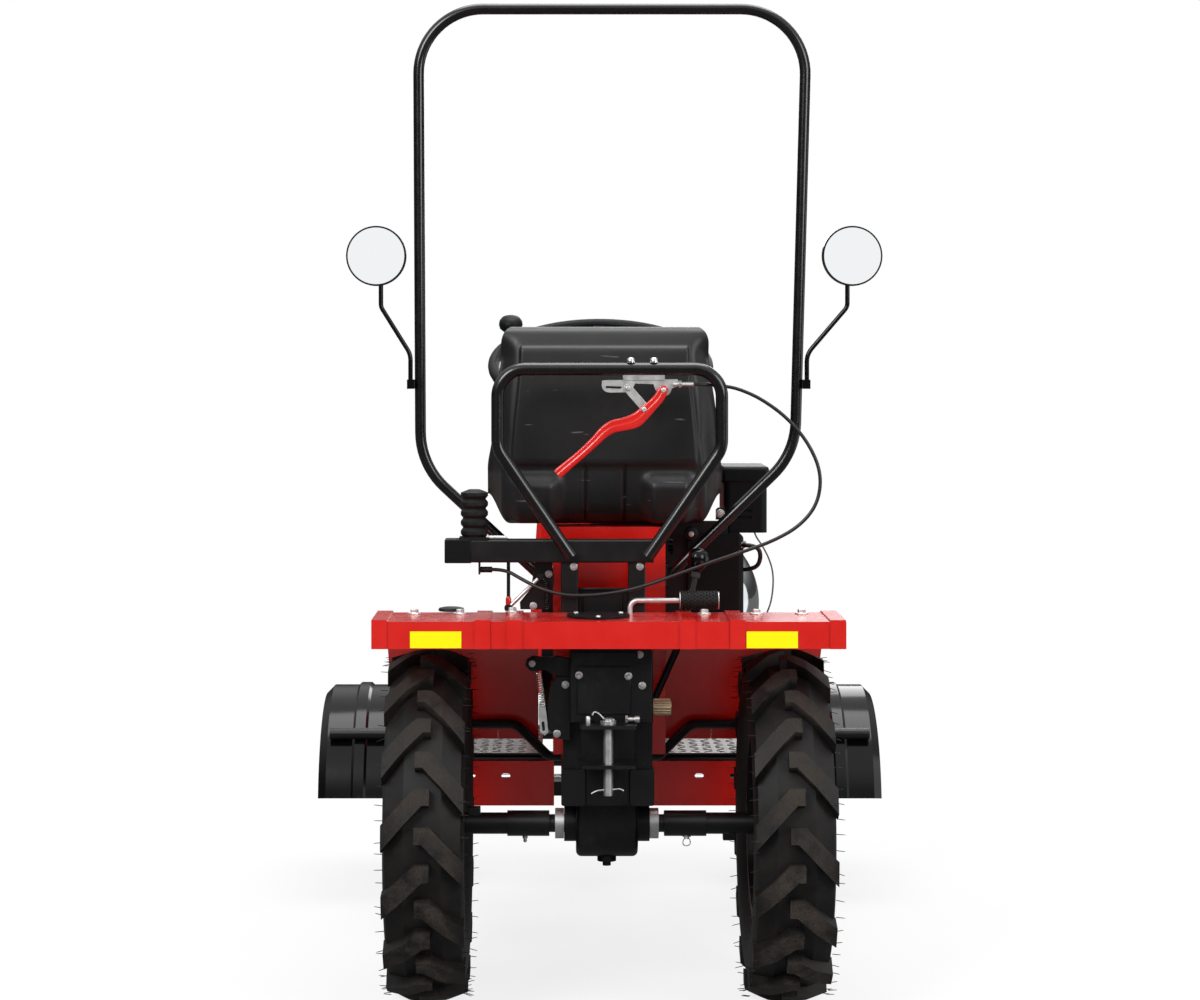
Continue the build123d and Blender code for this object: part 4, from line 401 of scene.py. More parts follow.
# Tyres: black tread rubber, vulcanised in a steel mould. Matt, with brown soil dust on the lug
# tops and a fine dotted wear of about 2 mm where they roll.
front_axle = 0.527


def tyre_rubber(name, axle_y, axle_z, dust_radius, full_radius):
    """Tread rubber whose soil dust grows with the distance from its axle."""
    material, tree = new_material(name)
    spot = split(tree, add_node(tree, "TexCoord").outputs["Object"])
    flat = add_node(tree, "CombineXYZ", None, {1: maths(tree, "SUBTRACT", spot["Y"], axle_y),
                                               2: maths(tree, "SUBTRACT", spot["Z"], axle_z)})
    radius = add_node(tree, "VectorMath", {"operation": "LENGTH"}, {0: flat.outputs[0]})
    outer = spread(tree, radius.outputs["Value"], (0.0, 1.0), (dust_radius, full_radius))
    cloud = noise(tree, 26.0, 8.0, 0.68)
    dots = spread(tree, pattern(tree, "Voronoi", {"Scale": 420.0}, "Distance"), (0.0, 1.0), (0.15, 0.5))
    soil = maths(tree, "MULTIPLY", outer, spread(tree, cloud, (0.0, 1.0), (0.34, 0.62)))
    most = maths(tree, "MAXIMUM", maths(tree, "MULTIPLY", soil, dots), spread(tree, cloud, (0.0, 0.3), (0.4, 0.8)))
    finish(tree, {"IOR": 1.52, "Specular IOR Level": 0.3},
           {"Base Color": tinted(tree, most, "#110f0f", "#38312b"), "Roughness": spread(tree, most, (0.52, 0.9)),
            "Normal": relief(tree, maths(tree, "MULTIPLY", outer, dots), 0.4, 0.0007)})
    return material


rear_rubber = tyre_rubber("rear_tread_rubber", rear_axle, 0.294, 0.274, 0.288)
dress(rear_rubber, "rear_tyre_left", "rear_tyre_right")
dress(tyre_rubber("front_tread_rubber", front_axle, 0.165, 0.156, 0.164), "front_tyre_left", "front_tyre_right")

# Front rims: pressed steel, welded of two halves and painted off-white. Rear discs and hubs
# share the frame's black paint.
rim_white = plain_finish("white_rim_enamel", "Noise", {"Scale": 14.0, "Detail": 6.0}, ("#b8b3a6", "#dcdad2"),
                         {"Roughness": 0.34, "IOR": 1.5})
dress(rim_white, "front_rim_left", "front_rim_right")

# Glossy mouldings: vacuum-formed black ABS on the front fenders, the lamps' cans and the
# mirrors' backs. A sharp gloss over a slow ripple.
abs_gloss = plain_finish("glossy_black_abs", "Noise", {"Scale": 18.0, "Detail": 2.0}, ("#060607", "#0d0c0d"),
                         {"Roughness": 0.14, "IOR": 1.54, "Specular IOR Level": 0.3}, (0.05, 0.003))
dress(abs_gloss, "front_fenders", "mirrors", "headlamps")

# Matt mouldings: injection-moulded black polypropylene on the grille, fan housing, air cleaner
# and deck cover, with a spark-eroded grain of about 0.6 mm.
grained, tree = new_material("grained_polypropylene")
spark = relief(tree, pattern(tree, "Voronoi", {"Scale": 1400.0}, "Distance"), 0.18, 0.0003)
tone = ramp(tree, noise(tree, 20.0, 6.0), "#06080a", "#0f1215")
finish(tree, {"Roughness": 0.46, "IOR": 1.49, "Specular IOR Level": 0.2}, {"Base Color": tone, "Normal": spark})
dress(grained, "front_grille", "blower_housing", "air_cleaner", "deck_cover")

# Rubber: moulded black EPDM on the lever's boot, pushed over the cross beam's end. Matt, with
# a fine cloudy tone.
epdm = plain_finish("moulded_epdm", "Noise", {"Scale": 120.0, "Detail": 5.0}, ("#090909", "#131313"),
                    {"Roughness": 0.55, "IOR": 1.5, "Specular IOR Level": 0.3})
dress(epdm, "lever_boot")

# Engine castings: the crankcase and finned cylinder are pressure die-cast aluminium, bare and
# greyed by heat and dust.
die_cast = plain_finish("die_cast_aluminium", "Noise", {"Scale": 220.0, "Detail": 5.0}, ("#6f7072", "#9b9c9d"),
                        {"Metallic": 0.85, "Roughness": 0.55}, (0.2, 0.0006))
dress(die_cast, "engine_block")

# Reflectors: bands of yellow retroreflective acrylic film, stuck on the deck's rear wall, with
# a grid of 3 mm cells.
cells = {"Scale": 330.0, "distance": "CHEBYCHEV", "Randomness": 0.0}
amber = plain_finish("yellow_reflective_film", "Voronoi", cells, ("#fff000", "#f2dc00"),
                     {"Roughness": 0.16, "IOR": 1.49}, (0.25, 0.0006), outlet="Distance")
dress(amber, "reflectors")

# Mirror glass: round float glass, silvered on the back and held in the housing's rim. It shows
# the studio's white.
silvered, tree = new_material("silvered_glass")
haze = spread(tree, noise(tree, 12.0, 2.0), (0.0, 0.03))
finish(tree, {"Metallic": 1.0, "Base Color": shade("#f2f4f5")}, {"Roughness": haze})
dress(silvered, "mirror_glass")

# Seat shell: one vacuum-formed ABS bucket, 6 mm thick, with a raised field on its back, two
# bulges for the thighs and two stiffening grooves. It bolts to the red pedestal. The skin is
# leather-grained with pebbles of about 1.5 mm, half gloss, with pale rub marks.
shell_rear = rear_axle + 0.042
shell_middle = -0.002
shell_wall = 0.006
shell_rows = 150
shell_columns = 200
side_turn = math.radians(87.3)
path_step = 0.004
back_start = 0.38
field_height = 0.007
bulge_height = 0.020
corner_step = 0.004
groove_depth = 0.005
groove_reach = 0.003
shell_line = [(0.411, 0.836), (0.405, 0.806), (0.385, 0.797), (0.300, 0.794), (0.200, 0.793), (0.110, 0.792),
              (0.055, 0.797), (0.024, 0.815), (0.010, 0.850), (0.004, 0.900), (0.002, 0.960), (0.002, 1.020),
              (0.004, 1.070), (0.008, 1.105), (0.018, 1.127), (0.034, 1.134), (0.046, 1.131)]


def piece(name, parts, material, body="chassis", bevel=0.0, sharp=35):
    """A mesh piece in the shared frame that rides on a body."""
    mesh = bpy.data.meshes.new(name)
    mesh.from_pydata([tuple(v) for v in parts[0]], [], parts[1])
    even = bmesh.new()
    even.from_mesh(mesh)
    bmesh.ops.recalc_face_normals(even, faces=even.faces[:])
    even.to_mesh(mesh)
    even.free()
    mesh.materials.append(material)
    mesh.polygons.foreach_set("use_smooth", [True] * len(mesh.polygons))
    mesh.set_sharp_from_angle(angle=math.radians(sharp))
    made = bpy.data.objects.new(name, mesh)
    bpy.context.scene.collection.objects.link(made)
    if bevel > 0:
        soft = made.modifiers.new("edge", "BEVEL")
        soft.width = bevel
        soft.segments = 2
        soft.limit_method = "ANGLE"
        soft.angle_limit = math.radians(40)
    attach(made, body)
    return made


def spline(points, spot):
    """A smooth curve through points, at a share of its length by points."""
    first = min(int(spot), len(points) - 2)
    t = spot - first
    p0, p1 = points[max(first - 1, 0)], points[first]
    p2, p3 = points[first + 1], points[min(first + 2, len(points) - 1)]
    return tuple(0.5 * (2 * b + (c - a) * t + (2 * a - 5 * b + 4 * c - d) * t * t + (3 * b - a - 3 * c + d) * t ** 3)
                 for a, b, c, d in zip(p0, p1, p2, p3))


def smooth(value, low, high):
    """Goes from 0 to 1 between two limits, flat at both."""
    part = min(1.0, max(0.0, (value - low) / (high - low)))
    return part * part * (3 - 2 * part)


def shell_path(part):
    """Place on the shell's outer profile, from the pan's front lip to the back's top."""
    return spline(shell_line, min(max(part, 0.0), 1.0) * (len(shell_line) - 1))


def shell_half_width(part, z):
    """Half of the shell's width at a place on its profile."""
    if part < 0.36:
        return 0.186 + 0.016 * smooth(part, 0.0, 0.30)
    wide = 0.202 - 0.008 * smooth(z, 0.885, 0.950) - 0.016 * smooth(z, 0.950, 1.100)
    over = min(max((z - 1.106) / 0.030, 0.0), 1.0)
    return wide - 0.026 * (1 - math.sqrt(1 - over * over))


def shell_lift(part, x, z):
    """How far the back stands out: its field and bulges, less its corners and grooves."""
    if part <= back_start:
        return 0.0
    field_half = 0.146 + 0.014 * smooth(1.1 - z, 0.0, 0.2)
    field = smooth(field_half - abs(x + 0.001), 0.0, 0.005) * smooth(z, 0.893, 0.903) * (1 - smooth(z, 1.094, 1.104))
    bulge = smooth(abs(x + 0.005), 0.060, 0.092) * (1 - smooth(abs(x + 0.005), 0.140, 0.166))
    bulge *= (1 - smooth(z, 0.862, 0.890)) * smooth(part, back_start, 0.44)
    corner = smooth(abs(x + 0.002), 0.176, 0.180) * (1 - smooth(z, 0.880, 0.888))
    groove = sum(math.exp(-((x - middle) / groove_reach) ** 2) for middle in (-0.033, 0.034))
    groove *= 1 - smooth(z, 0.892, 0.900)
    return field_height * field + bulge_height * bulge - corner_step * corner - groove_depth * groove


verts = []
for depth in (0.0, shell_wall):
    for row in range(shell_rows + 1):
        part = row / shell_rows
        y, z = shell_path(part)
        y1, z1 = shell_path(part + path_step)
        y0, z0 = shell_path(part - path_step)
        along = Vector((0, y1 - y0, z1 - z0)).normalized()
        outward = Vector((0, -along.z, along.y))
        wide = shell_half_width(part, z)
        for column in range(shell_columns + 1):
            x = wide * math.sin((2 * column / shell_columns - 1) * side_turn) / math.sin(side_turn)
            wrap = (0.052 - 0.030 * smooth(z, 0.90, 1.05)) * smooth(abs(x) / wide, 0.80, 1.0) ** 1.4
            wrap *= 1 - smooth(z, 1.080, 1.125)
            place = Vector((shell_middle + x, shell_rear + y, z))
            verts.append(place + outward * (shell_lift(part, x, z) - wrap - depth))
rows = [range(row * (shell_columns + 1), (row + 1) * (shell_columns + 1)) for row in range(shell_rows + 1)]
inner = len(verts) // 2
faces = []
for low, high in zip(rows, rows[1:]):
    for a, b, c, d in zip(low, low[1:], high[1:], high):
        faces += [(a, b, c, d), (inner + a, inner + d, inner + c, inner + b)]
rim = [*rows[0], *(row[-1] for row in rows[1:]), *rows[-1][-2::-1], *(row[0] for row in rows[-2:0:-1])]
faces += [(a, inner + a, inner + b, b) for a, b in zip(rim, rim[1:] + rim[:1])]
seat_abs, tree = new_material("grained_black_abs")
coords = add_node(tree, "TexCoord").outputs["Object"]
pebble = relief(tree, pattern(tree, "Voronoi", {"Scale": 650.0}, "Distance"), 0.22, 0.0004)
cloud = noise(tree, 11.0, 6.0, 0.6)
slant = add_node(tree, "Mapping", {"Rotation": (0.2, 0.9, 0.4), "Scale": (14, 40, 150)}, {"Vector": coords})
streak = add_node(tree, "TexNoise", {"Scale": 1.0, "Detail": 2.0}, {"Vector": slant.outputs[0]}).outputs["Fac"]
tone = tinted(tree, spread(tree, cloud, (0.0, 0.5), (0.5, 0.8)), "#131314", "#26262a")
marked = tinted(tree, spread(tree, streak, (0.0, 0.55), (0.70, 0.74)), tone, "#77777a")
spot = split(tree, coords)
beside = spread(tree, maths(tree, "ABSOLUTE", spot["X"]), (0.0, 1.0), (0.178, 0.181))
below = spread(tree, spot["Z"], (0.0, 1.0), (0.888, 0.882))
marked = tinted(tree, maths(tree, "MULTIPLY", beside, below), marked, "#2a2525")
finish(tree, {"IOR": 1.54}, {"Base Color": marked, "Roughness": spread(tree, cloud, (0.34, 0.52)), "Normal": pebble})
seat_skin = piece("seat_bucket", (verts, faces), seat_abs, sharp=80)
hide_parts("seat_shell")

# Seat pads: vinyl-covered foam on the bucket, one for the back and one for the seat, each
# blown up a little by its filling and sewn with two channels across.
vinyl, tree = new_material("black_vinyl")
crease = noise(tree, 34.0, 4.0)
hide = relief(tree, pattern(tree, "Voronoi", {"Scale": 520.0}, "Distance"), 0.3, 0.0004)
finish(tree, {"Roughness": 0.42, "IOR": 1.5},
       {"Base Color": ramp(tree, crease, "#171718", "#242426"), "Normal": relief(tree, crease, 0.25, 0.002, hide)})
pad_inset = 0.006
pad_rounding = 0.013
pad_voxel = 0.006
most_swell = 0.010
channel_reach = 0.006
channel_depth = 0.007
for name, node in (("back_cushion", "seat_back_pad"), ("seat_cushion", "seat_base_pad")):
    low, high = (Vector(corner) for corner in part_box(node))
    middle, reach = (low + high) / 2, high - low
    core = bmesh.new()
    bmesh.ops.create_cube(core, size=1.0)
    for vertex in core.verts:
        vertex.co = Vector(middle[i] + vertex.co[i] * (reach[i] - 2 * pad_inset) for i in range(3))
    bmesh.ops.bevel(core, geom=core.edges[:], offset=pad_rounding, segments=4, affect="EDGES", profile=0.5)
    shape = bpy.data.meshes.new(name)
    core.to_mesh(shape)
    core.free()
    cushion = bpy.data.objects.new(name, shape)
    bpy.context.scene.collection.objects.link(cushion)
    bpy.context.view_layer.objects.active = cushion
    even = cushion.modifiers.new("even", "REMESH")
    even.mode = "VOXEL"
    even.voxel_size = pad_voxel
    bpy.context.view_layer.update()
    depsgraph = bpy.context.evaluated_depsgraph_get()
    shape = bpy.data.meshes.new_from_object(cushion.evaluated_get(depsgraph))
    cushion.modifiers.clear()
    cushion.data = shape
    before = [vertex.co.copy() for vertex in shape.vertices]
    cloth = cushion.modifiers.new("filling", "CLOTH")
    cloth.settings.use_pressure = True
    cloth.settings.uniform_pressure_force = 4.0
    cloth.settings.effector_weights.gravity = 0.0
    for step in range(1, 21):
        bpy.context.scene.frame_set(step)
    depsgraph = bpy.context.evaluated_depsgraph_get()
    blown = bpy.data.meshes.new_from_object(cushion.evaluated_get(depsgraph))
    cushion.modifiers.clear()
    bpy.context.scene.frame_set(1)
    for vertex, start, end in zip(shape.vertices, before, blown.vertices):
        move = end.co - start
        if move.length > most_swell:
            move *= most_swell / move.length
        vertex.co = start + move
    long_axis = 2 if reach.z > reach.y else 1
    face_axis = 3 - long_axis
    for vertex in shape.vertices:
        for share in (0.33, 0.67):
            seam = low[long_axis] + reach[long_axis] * share
            pinch = math.exp(-((vertex.co[long_axis] - seam) / channel_reach) ** 2)
            if vertex.co[face_axis] > middle[face_axis]:
                vertex.co[face_axis] -= channel_depth * pinch
    shape.materials.clear()
    shape.materials.append(vinyl)
    shape.polygons.foreach_set("use_smooth", [True] * len(shape.polygons))
    finer = cushion.modifiers.new("finer", "SUBSURF")
    finer.levels = 1
    finer.render_levels = 1
    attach(cushion, "chassis")
    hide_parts(node)

# Deck fixings: zinc-plated hexagon bolts with wide washers hold the three deck panels to the
# frame, and three screws hold the round cover. A black rubber plug closes a hole beside the
# second bolt.
upward = (0, 0, 1)


def band_faces(rings, steps, closed=False):
    """Faces between rings of points, with a cap at both ends of an open band."""
    faces = []
    for ring in range(rings if closed else rings - 1):
        ahead = (ring + 1) % rings
        for step in range(steps):
            after = (step + 1) % steps
            faces.append((ring * steps + step, ring * steps + after, ahead * steps + after, ahead * steps + step))
    if not closed:
        faces += [tuple(range(steps)), tuple(range((rings - 1) * steps, rings * steps))]
    return faces


def turned(profile, place, axis, steps=24):
    """A (radius, height) profile in mm turned about an axis at a place."""
    up = Vector(axis).normalized()
    side = up.orthogonal().normalized()
    other = up.cross(side)
    verts = []
    for radius, height in profile:
        for step in range(steps):
            angle = 2 * math.pi * step / steps
            verts.append(place + (up * height + (side * math.cos(angle) + other * math.sin(angle)) * radius) / 1000)
    return verts, band_faces(len(profile), steps)


def joined(parts):
    """Several meshes as one."""
    verts, faces = [], []
    for more_verts, more_faces in parts:
        faces += [tuple(i + len(verts) for i in face) for face in more_faces]
        verts += more_verts
    return verts, faces


def hex_bolts(spots, axis, across):
    """Washers and chamfered hexagon heads at places in mm, a size across corners in mm."""
    washer = ((across * 0.8, 0), (across * 0.8, across * 0.12), (across * 0.72, across * 0.18))
    head = ((across * 0.5, across * 0.1), (across * 0.5, across * 0.5), (across * 0.42, across * 0.58))
    return joined([turned(profile, at(*spot), axis, steps)
                   for spot in spots for profile, steps in ((washer, 24), (head, 6))])


deck_spots = [(x, -74, z) for x, z in ((-321, 655), (-245, 655), (-158, 658), (161, 655), (248, 655), (323, 655))]
piece("deck_bolts", hex_bolts(deck_spots, upward, 14), zinc)
plug = turned(((21, 0), (22, 2), (20.5, 5), (14, 6.5), (3, 7)), at(-262, -20, 655), upward)
piece("deck_plug", plug, epdm)
screw_circle = 43
screws = [turned(((4.6, 0), (4.4, 1.4), (3, 2.4), (1, 2.7)),
                 at(-16 + screw_circle * math.cos(turn), -118 + screw_circle * math.sin(turn), 659), upward, 16)
          for turn in (0.5, 2.6, 4.7)]
piece("cover_screws", joined(screws), zinc)

# Lever bracket: a laser-cut zinc-plated plate of 4 mm under the guard's top tube, with a long
# slot, a two-bar link that slides in it, three riveted pivots and a threaded cable adjuster.
# Two dome nuts on top of the tube hold it.
rightward = (1, 0, 0)
rear = (0, -1, 0)
bracket_y = -55.8
thread_pitch = 1.9


def cut(outlines, place, thick, right=(1, 0, 0), up=(0, 0, 1)):
    """A plate in mm: the first outline is its edge and the others are holes."""
    right, up = Vector(right).normalized(), Vector(up).normalized()
    out = right.cross(up)
    flat = bmesh.new()
    verts, faces = [], []
    for outline in outlines:
        loop = [flat.verts.new((x, y, 0)) for x, y in outline]
        for a, b in zip(loop, loop[1:] + loop[:1]):
            flat.edges.new((a, b))
        first = len(verts)
        for x, y in outline:
            verts += [place + (right * x + up * y + out * thick * side) / 1000 for side in (0.5, -0.5)]
        for i in range(len(outline)):
            a, b = first + 2 * i, first + 2 * ((i + 1) % len(outline))
            faces.append((a, a + 1, b + 1, b))
    bmesh.ops.triangle_fill(flat, use_beauty=True, use_dissolve=False, edges=flat.edges[:])
    flat.verts.index_update()
    for face in flat.faces:
        ring = [vertex.index for vertex in face.verts]
        faces += [tuple(2 * i for i in ring), tuple(2 * i + 1 for i in reversed(ring))]
    flat.free()
    return verts, faces


def rectangle(x0, z0, x1, z1):
    """The outline between two corners, in mm."""
    return [(x0, z0), (x1, z0), (x1, z1), (x0, z1)]


def slot_outline(x0, z0, x1, z1, half, steps=8):
    """A round-ended slot between two centres, in mm."""
    turn = math.atan2(z1 - z0, x1 - x0)
    line = []
    for x, z, start in ((x1, z1, turn - math.pi / 2), (x0, z0, turn + math.pi / 2)):
        laps = [start + math.pi * i / steps for i in range(steps + 1)]
        line += [(x + half * math.cos(lap), z + half * math.sin(lap)) for lap in laps]
    return line


outline = [(-9, 1043), (0, 1044), (104, 1045.5), (118, 1045.5), (118, 1034), (108, 1030), (105, 1022), (100, 1018.5),
           (92, 1017.5), (85, 1021), (80, 1028), (77, 1037), (47, 1038.5), (40, 1027), (33, 1023.5), (6, 1023),
           (-2, 1024), (-7, 1027.5), (-9.5, 1034)]
bracket = [cut([outline, slot_outline(-1, 1032.3, 22, 1031.4, 1.9)], at(0, bracket_y, 0), 4),
           cut([rectangle(26, 1044, 96, 1053)], at(0, bracket_y, 0), 7)]
for forward in (-3.6, 3.6):
    bracket.append(cut([slot_outline(34.3, 1030.2, 61.5, 999.5, 7.3)], at(0, bracket_y + forward, 0), 3))
for x, z, reach in ((34.3, 1030.2, 7), (61.0, 995.0, 16), (93.4, 1027.0, 16)):
    bracket.append(turned(((4.6, -reach), (4.6, reach - 1.2), (3.4, reach)), at(x, bracket_y, z), rear, 20))
threads = [(4.6, 0), (4.6, 5), (3.2, 5.4)]
for step in range(16):
    threads += [(4.0, 6 + step * thread_pitch), (3.2, 6.95 + step * thread_pitch)]
bracket.append(turned(threads, at(109, bracket_y, 1037), rightward))
bracket.append(turned(((7, 0), (7, 5)), at(119, bracket_y, 1037), rightward, 6))
bracket_made = piece("bracket_plate", joined(bracket), zinc, bevel=0.0004)
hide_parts("lever_bracket")
dome = ((8, 0), (8, 1.4), (7.2, 1.8), (7.0, 5), (6.2, 7.4), (4.2, 9.2), (1, 10))
piece("dome_nuts", joined([turned(dome, at(x, bracket_y, 1072.2), upward) for x in (39.5, 78)]), chrome)

# Brake lever: a channel pressed from 2 mm sheet, powder coated red. It sweeps down to the
# left, swells round the pivots and has a rolled edge along its middle.
lever_line = [(99, 1032, 4), (93.4, 1027, 8.4), (85.5, 1014.2, 8.8), (74.3, 1002, 9.4), (60, 988, 11),
              (45.5, 976.5, 12.2), (26, 970.5, 11), (8.7, 966.5, 10.6), (-5.6, 957.5, 9.6), (-21.6, 941.4, 8.2),
              (-44, 920.6, 7.6), (-63, 904.6, 7.9), (-79, 891, 8.6), (-83.5, 887, 8.0)]
lever_y = -64.1
lever_half_depth = 6.0
roll_height = 1.4
crease_depth = 1.0
stations = 90
around = 28
last = len(lever_line) - 1
verts = []
for station in range(stations + 1):
    spot = station / stations * last
    x, z, half = spline(lever_line, spot)
    x1, z1, _ = spline(lever_line, min(spot + 0.05, last))
    x0, z0, _ = spline(lever_line, max(spot - 0.05, 0))
    along = Vector((x1 - x0, 0, z1 - z0)).normalized()
    across = Vector((-along.z, 0, along.x))
    for step in range(around):
        angle = 2 * math.pi * step / around
        c, q = math.cos(angle), math.sin(angle)
        wide = half * math.copysign(abs(c) ** 0.7, c)
        deep = lever_half_depth * math.copysign(abs(q) ** 0.55, q)
        if q > 0:
            deep += roll_height * math.exp(-((c - 0.25) / 0.16) ** 2)
            deep -= crease_depth * math.exp(-((c + 0.2) / 0.25) ** 2)
        verts.append(at(x, lever_y - deep, z) + across * wide / 1000)
lever_faces = band_faces(stations + 1, around)
lever_made = piece("lever_channel", (verts, lever_faces), powder_red, sharp=70)
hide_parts("brake_lever")

# Steering wheel: polyurethane moulded on a steel ring, with grip waves behind the rim, three
# spokes, a round hub cap and a spinner knob on a short stem.
tilt = math.radians(22.9)
wheel_up, wheel_out = Vector((0, math.cos(tilt), math.sin(tilt))), Vector((0, -math.sin(tilt), math.cos(tilt)))
wheel_centre = at(0, 680, 1065)
wheel_radius = 208
rim_radius = 11.2
wave_height = 0.7
wave_count = 36
ring_steps = 20
rim_steps = 144


def wheel_ray(turn):
    """A direction in the wheel's plane."""
    return Vector(rightward) * math.cos(turn) + wheel_up * math.sin(turn)


verts = []
for lap in range(rim_steps):
    angle = 2 * math.pi * lap / rim_steps
    for step in range(ring_steps):
        turn = 2 * math.pi * step / ring_steps
        reach = rim_radius + wave_height * math.cos(wave_count * angle) * max(0.0, -math.sin(turn))
        out = wheel_ray(angle) * (wheel_radius + reach * math.cos(turn)) + wheel_out * reach * math.sin(turn)
        verts.append(wheel_centre + out / 1000)
wheel = [(verts, band_faces(rim_steps, ring_steps, closed=True))]
spoke = [[(18, -13), (60, -10), (150, -9), (205, -12), (205, 12), (150, 9), (60, 10), (18, 13)],
         slot_outline(70, 0, 140, 0, 3.5)]
for degrees in (90, 210, 330):
    ray = wheel_ray(math.radians(degrees))
    wheel.append(cut(spoke, wheel_centre - wheel_out * 0.001, 6, ray, wheel_out.cross(ray)))
hub = ((26, -40), (31, -36), (32, -14), (36, -6), (36, 1), (33, 4.5), (24, 6), (4, 6.4))
knob = ((11, 8), (9, 12), (7.5, 16), (7.5, 24), (10, 26), (17, 28), (22, 33), (23.6, 40), (22.4, 47), (18, 53),
        (10, 56.4), (1, 57))
knob_place = wheel_centre + wheel_ray(math.radians(148)) * wheel_radius / 1000
wheel += [turned(hub, wheel_centre, wheel_out, 48), turned(knob, knob_place, wheel_out, 40)]
wheel_made = piece("wheel_moulding", joined(wheel), grained, "steering_wheel_body", bevel=0.0008)
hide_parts("steering_wheel")

# Gear lever knob: a black phenolic egg with a sharp gloss, screwed on its stem over a thin
# hexagon lock nut in the frame's paint.
stem_axis = (29, 16, 133)
knob_centre = at(157, 50, 735)
egg = ((6, -20), (9, -18.5), (13.5, -13), (17, -6), (18.4, 1), (17.8, 8), (14.8, 14.5), (9, 19), (1, 21))
piece("gear_knob", turned(egg, knob_centre, stem_axis, 40), abs_gloss)
lock_nut = turned(((9.5, -30), (9.5, -22), (8.5, -21)), knob_centre, stem_axis, 6)
piece("gear_lock_nut", lock_nut, chassis_paint)

# Pedal sleeve: black rubber of 30 mm pushed on the pedal's rod, moulded with twelve rows of
# sixteen round studs that stand in each other's gaps.
pedal_y, pedal_z = -48, 675
stud_rows = 12
studs_around = 16
stud_pitch = 5.2
stud_root = 14.9
sleeve = [turned(((9, 0), (13.6, 0.6), (15.2, 2.5), (15.2, 64), (13.6, 66.4), (9, 67)), at(120.5, pedal_y, pedal_z),
                 rightward, 40)]
for row in range(stud_rows):
    for lap in range(studs_around):
        turn = 2 * math.pi * (lap + 0.5 * (row % 2)) / studs_around
        ray = (0, math.cos(turn), math.sin(turn))
        root = at(125 + row * stud_pitch, pedal_y + stud_root * ray[1], pedal_z + stud_root * ray[2])
        sleeve.append(turned(((1.9, 0), (1.7, 1.3), (0.9, 1.8)), root, ray, 8))
piece("pedal_sleeve", joined(sleeve), epdm)

# Control linkage under the seat: a black push rod with a red sleeve, a zinc-plated rod to a
# pressed black bell crank, a return spring and small hexagon fixings.
frontward = (0, 1, 0)


def coil(start, end, radius, turns):
    """Points of a coil spring between two places, in mm."""
    start, end = Vector(start), Vector(end)
    along = (end - start).normalized()
    side = along.orthogonal().normalized()
    other = along.cross(side)
    line = []
    for step in range(turns * 8 + 1):
        lap = step * math.pi / 4
        out = (side * math.cos(lap) + other * math.sin(lap)) * radius
        line.append(tuple(start + (end - start) * step / (turns * 8) + out))
    return line


wires("push_rod", [[(-166, -10, 740), (-166, -10, 708), (-166, -10, 676)]], 6, enamel)
rod_sleeve = turned(((3.2, 0), (4.6, 1), (4.8, 10), (3.4, 14)), at(-166, -10, 664), upward)
piece("red_sleeve", rod_sleeve, powder_red)
wires("zinc_rods", [[(-166, -10, 659), (-150, -10, 675), (-116, -10, 708)],
                    [(-203, -34, 779), (-186, -34, 780), (-168, -34, 779)]], 7, zinc)
crank_edge = [(-146, 656), (-147, 668), (-128, 692), (-121, 738), (-92, 738), (-89, 706), (-95, 656)]
crank = [cut([crank_edge], at(0, -3, 0), 5), turned(((7, -4), (7, 4)), at(-166, -10, 659), frontward),
         turned(((5.5, 0), (5.5, 14)), at(-112, -15, 712), frontward)]
piece("bell_crank", joined(crank), chassis_paint, bevel=0.0006)
wires("crank_spring", [coil((-103, -12, 708), (-100, -12, 658), 5, 14)], 1.6, enamel)
link_spots = ((-98, -6, 716), (-124, -6, 662), (-56, -39.6, 731), (55, -39.6, 731))
piece("linkage_bolts", hex_bolts(link_spots, rear, 8), zinc)

# Rear panel of the seat column: folded black sheet between the two uprights, spot-welded to
# them, with a pressed field and a rolled lip on top.
panel = [cut([rectangle(-48.4, 604, 35.4, 691)], at(0, -14, 0), 2.5),
         cut([rectangle(-40, 640, 27, 684)], at(0, -16, 0), 3),
         cut([rectangle(-48, -22, 35, -10)], at(0, 0, 692), 3, up=frontward)]
piece("column_panel", joined(panel), chassis_paint, bevel=0.0008)

# Beam end: a moulded black polypropylene cap pushed over the end of the cross beam, under the
# lever's boot, with rounded edges.
beam_cap = cut([rectangle(-272.5, 737, -227, 777)], at(0, -25, 0), 42)
piece("beam_end_cap", beam_cap, grained, bevel=0.002)

# Gear case details: two machined covers on the rear wall, their hexagon bolts, and the shift
# housing cast on the left side. All painted with the case except the zinc-plated bolts.
housing_edge = [(-62, 450), (-86, 455), (-98, 470), (-100, 500), (-95, 540), (-84, 556), (-62, 556)]
covers = [cut([rectangle(-61, 577, 49, 598)], at(0, -131.8, 0), 4),
          cut([rectangle(-51, 496, 37.5, 574)], at(0, -131.2, 0), 3), cut([housing_edge], at(0, -86, 0), 62)]
piece("case_covers", joined(covers), casting, bevel=0.0012)
case_spots = ((-48, -132.6, 560.5), (33.3, -132.6, 559), (56, -130, 543), (-70, -117, 543), (52, -130, 594),
              (-84, -117, 462))
piece("case_bolts", hex_bolts(case_spots, rear, 8), zinc)
studs = [turned(((3.2, 0), (3.2, 9), (2.4, 10)), at(x, -138, z), rear, 16) for x, z in ((-48, 560.5), (33.3, 559))]
piece("case_studs", joined(studs), zinc)

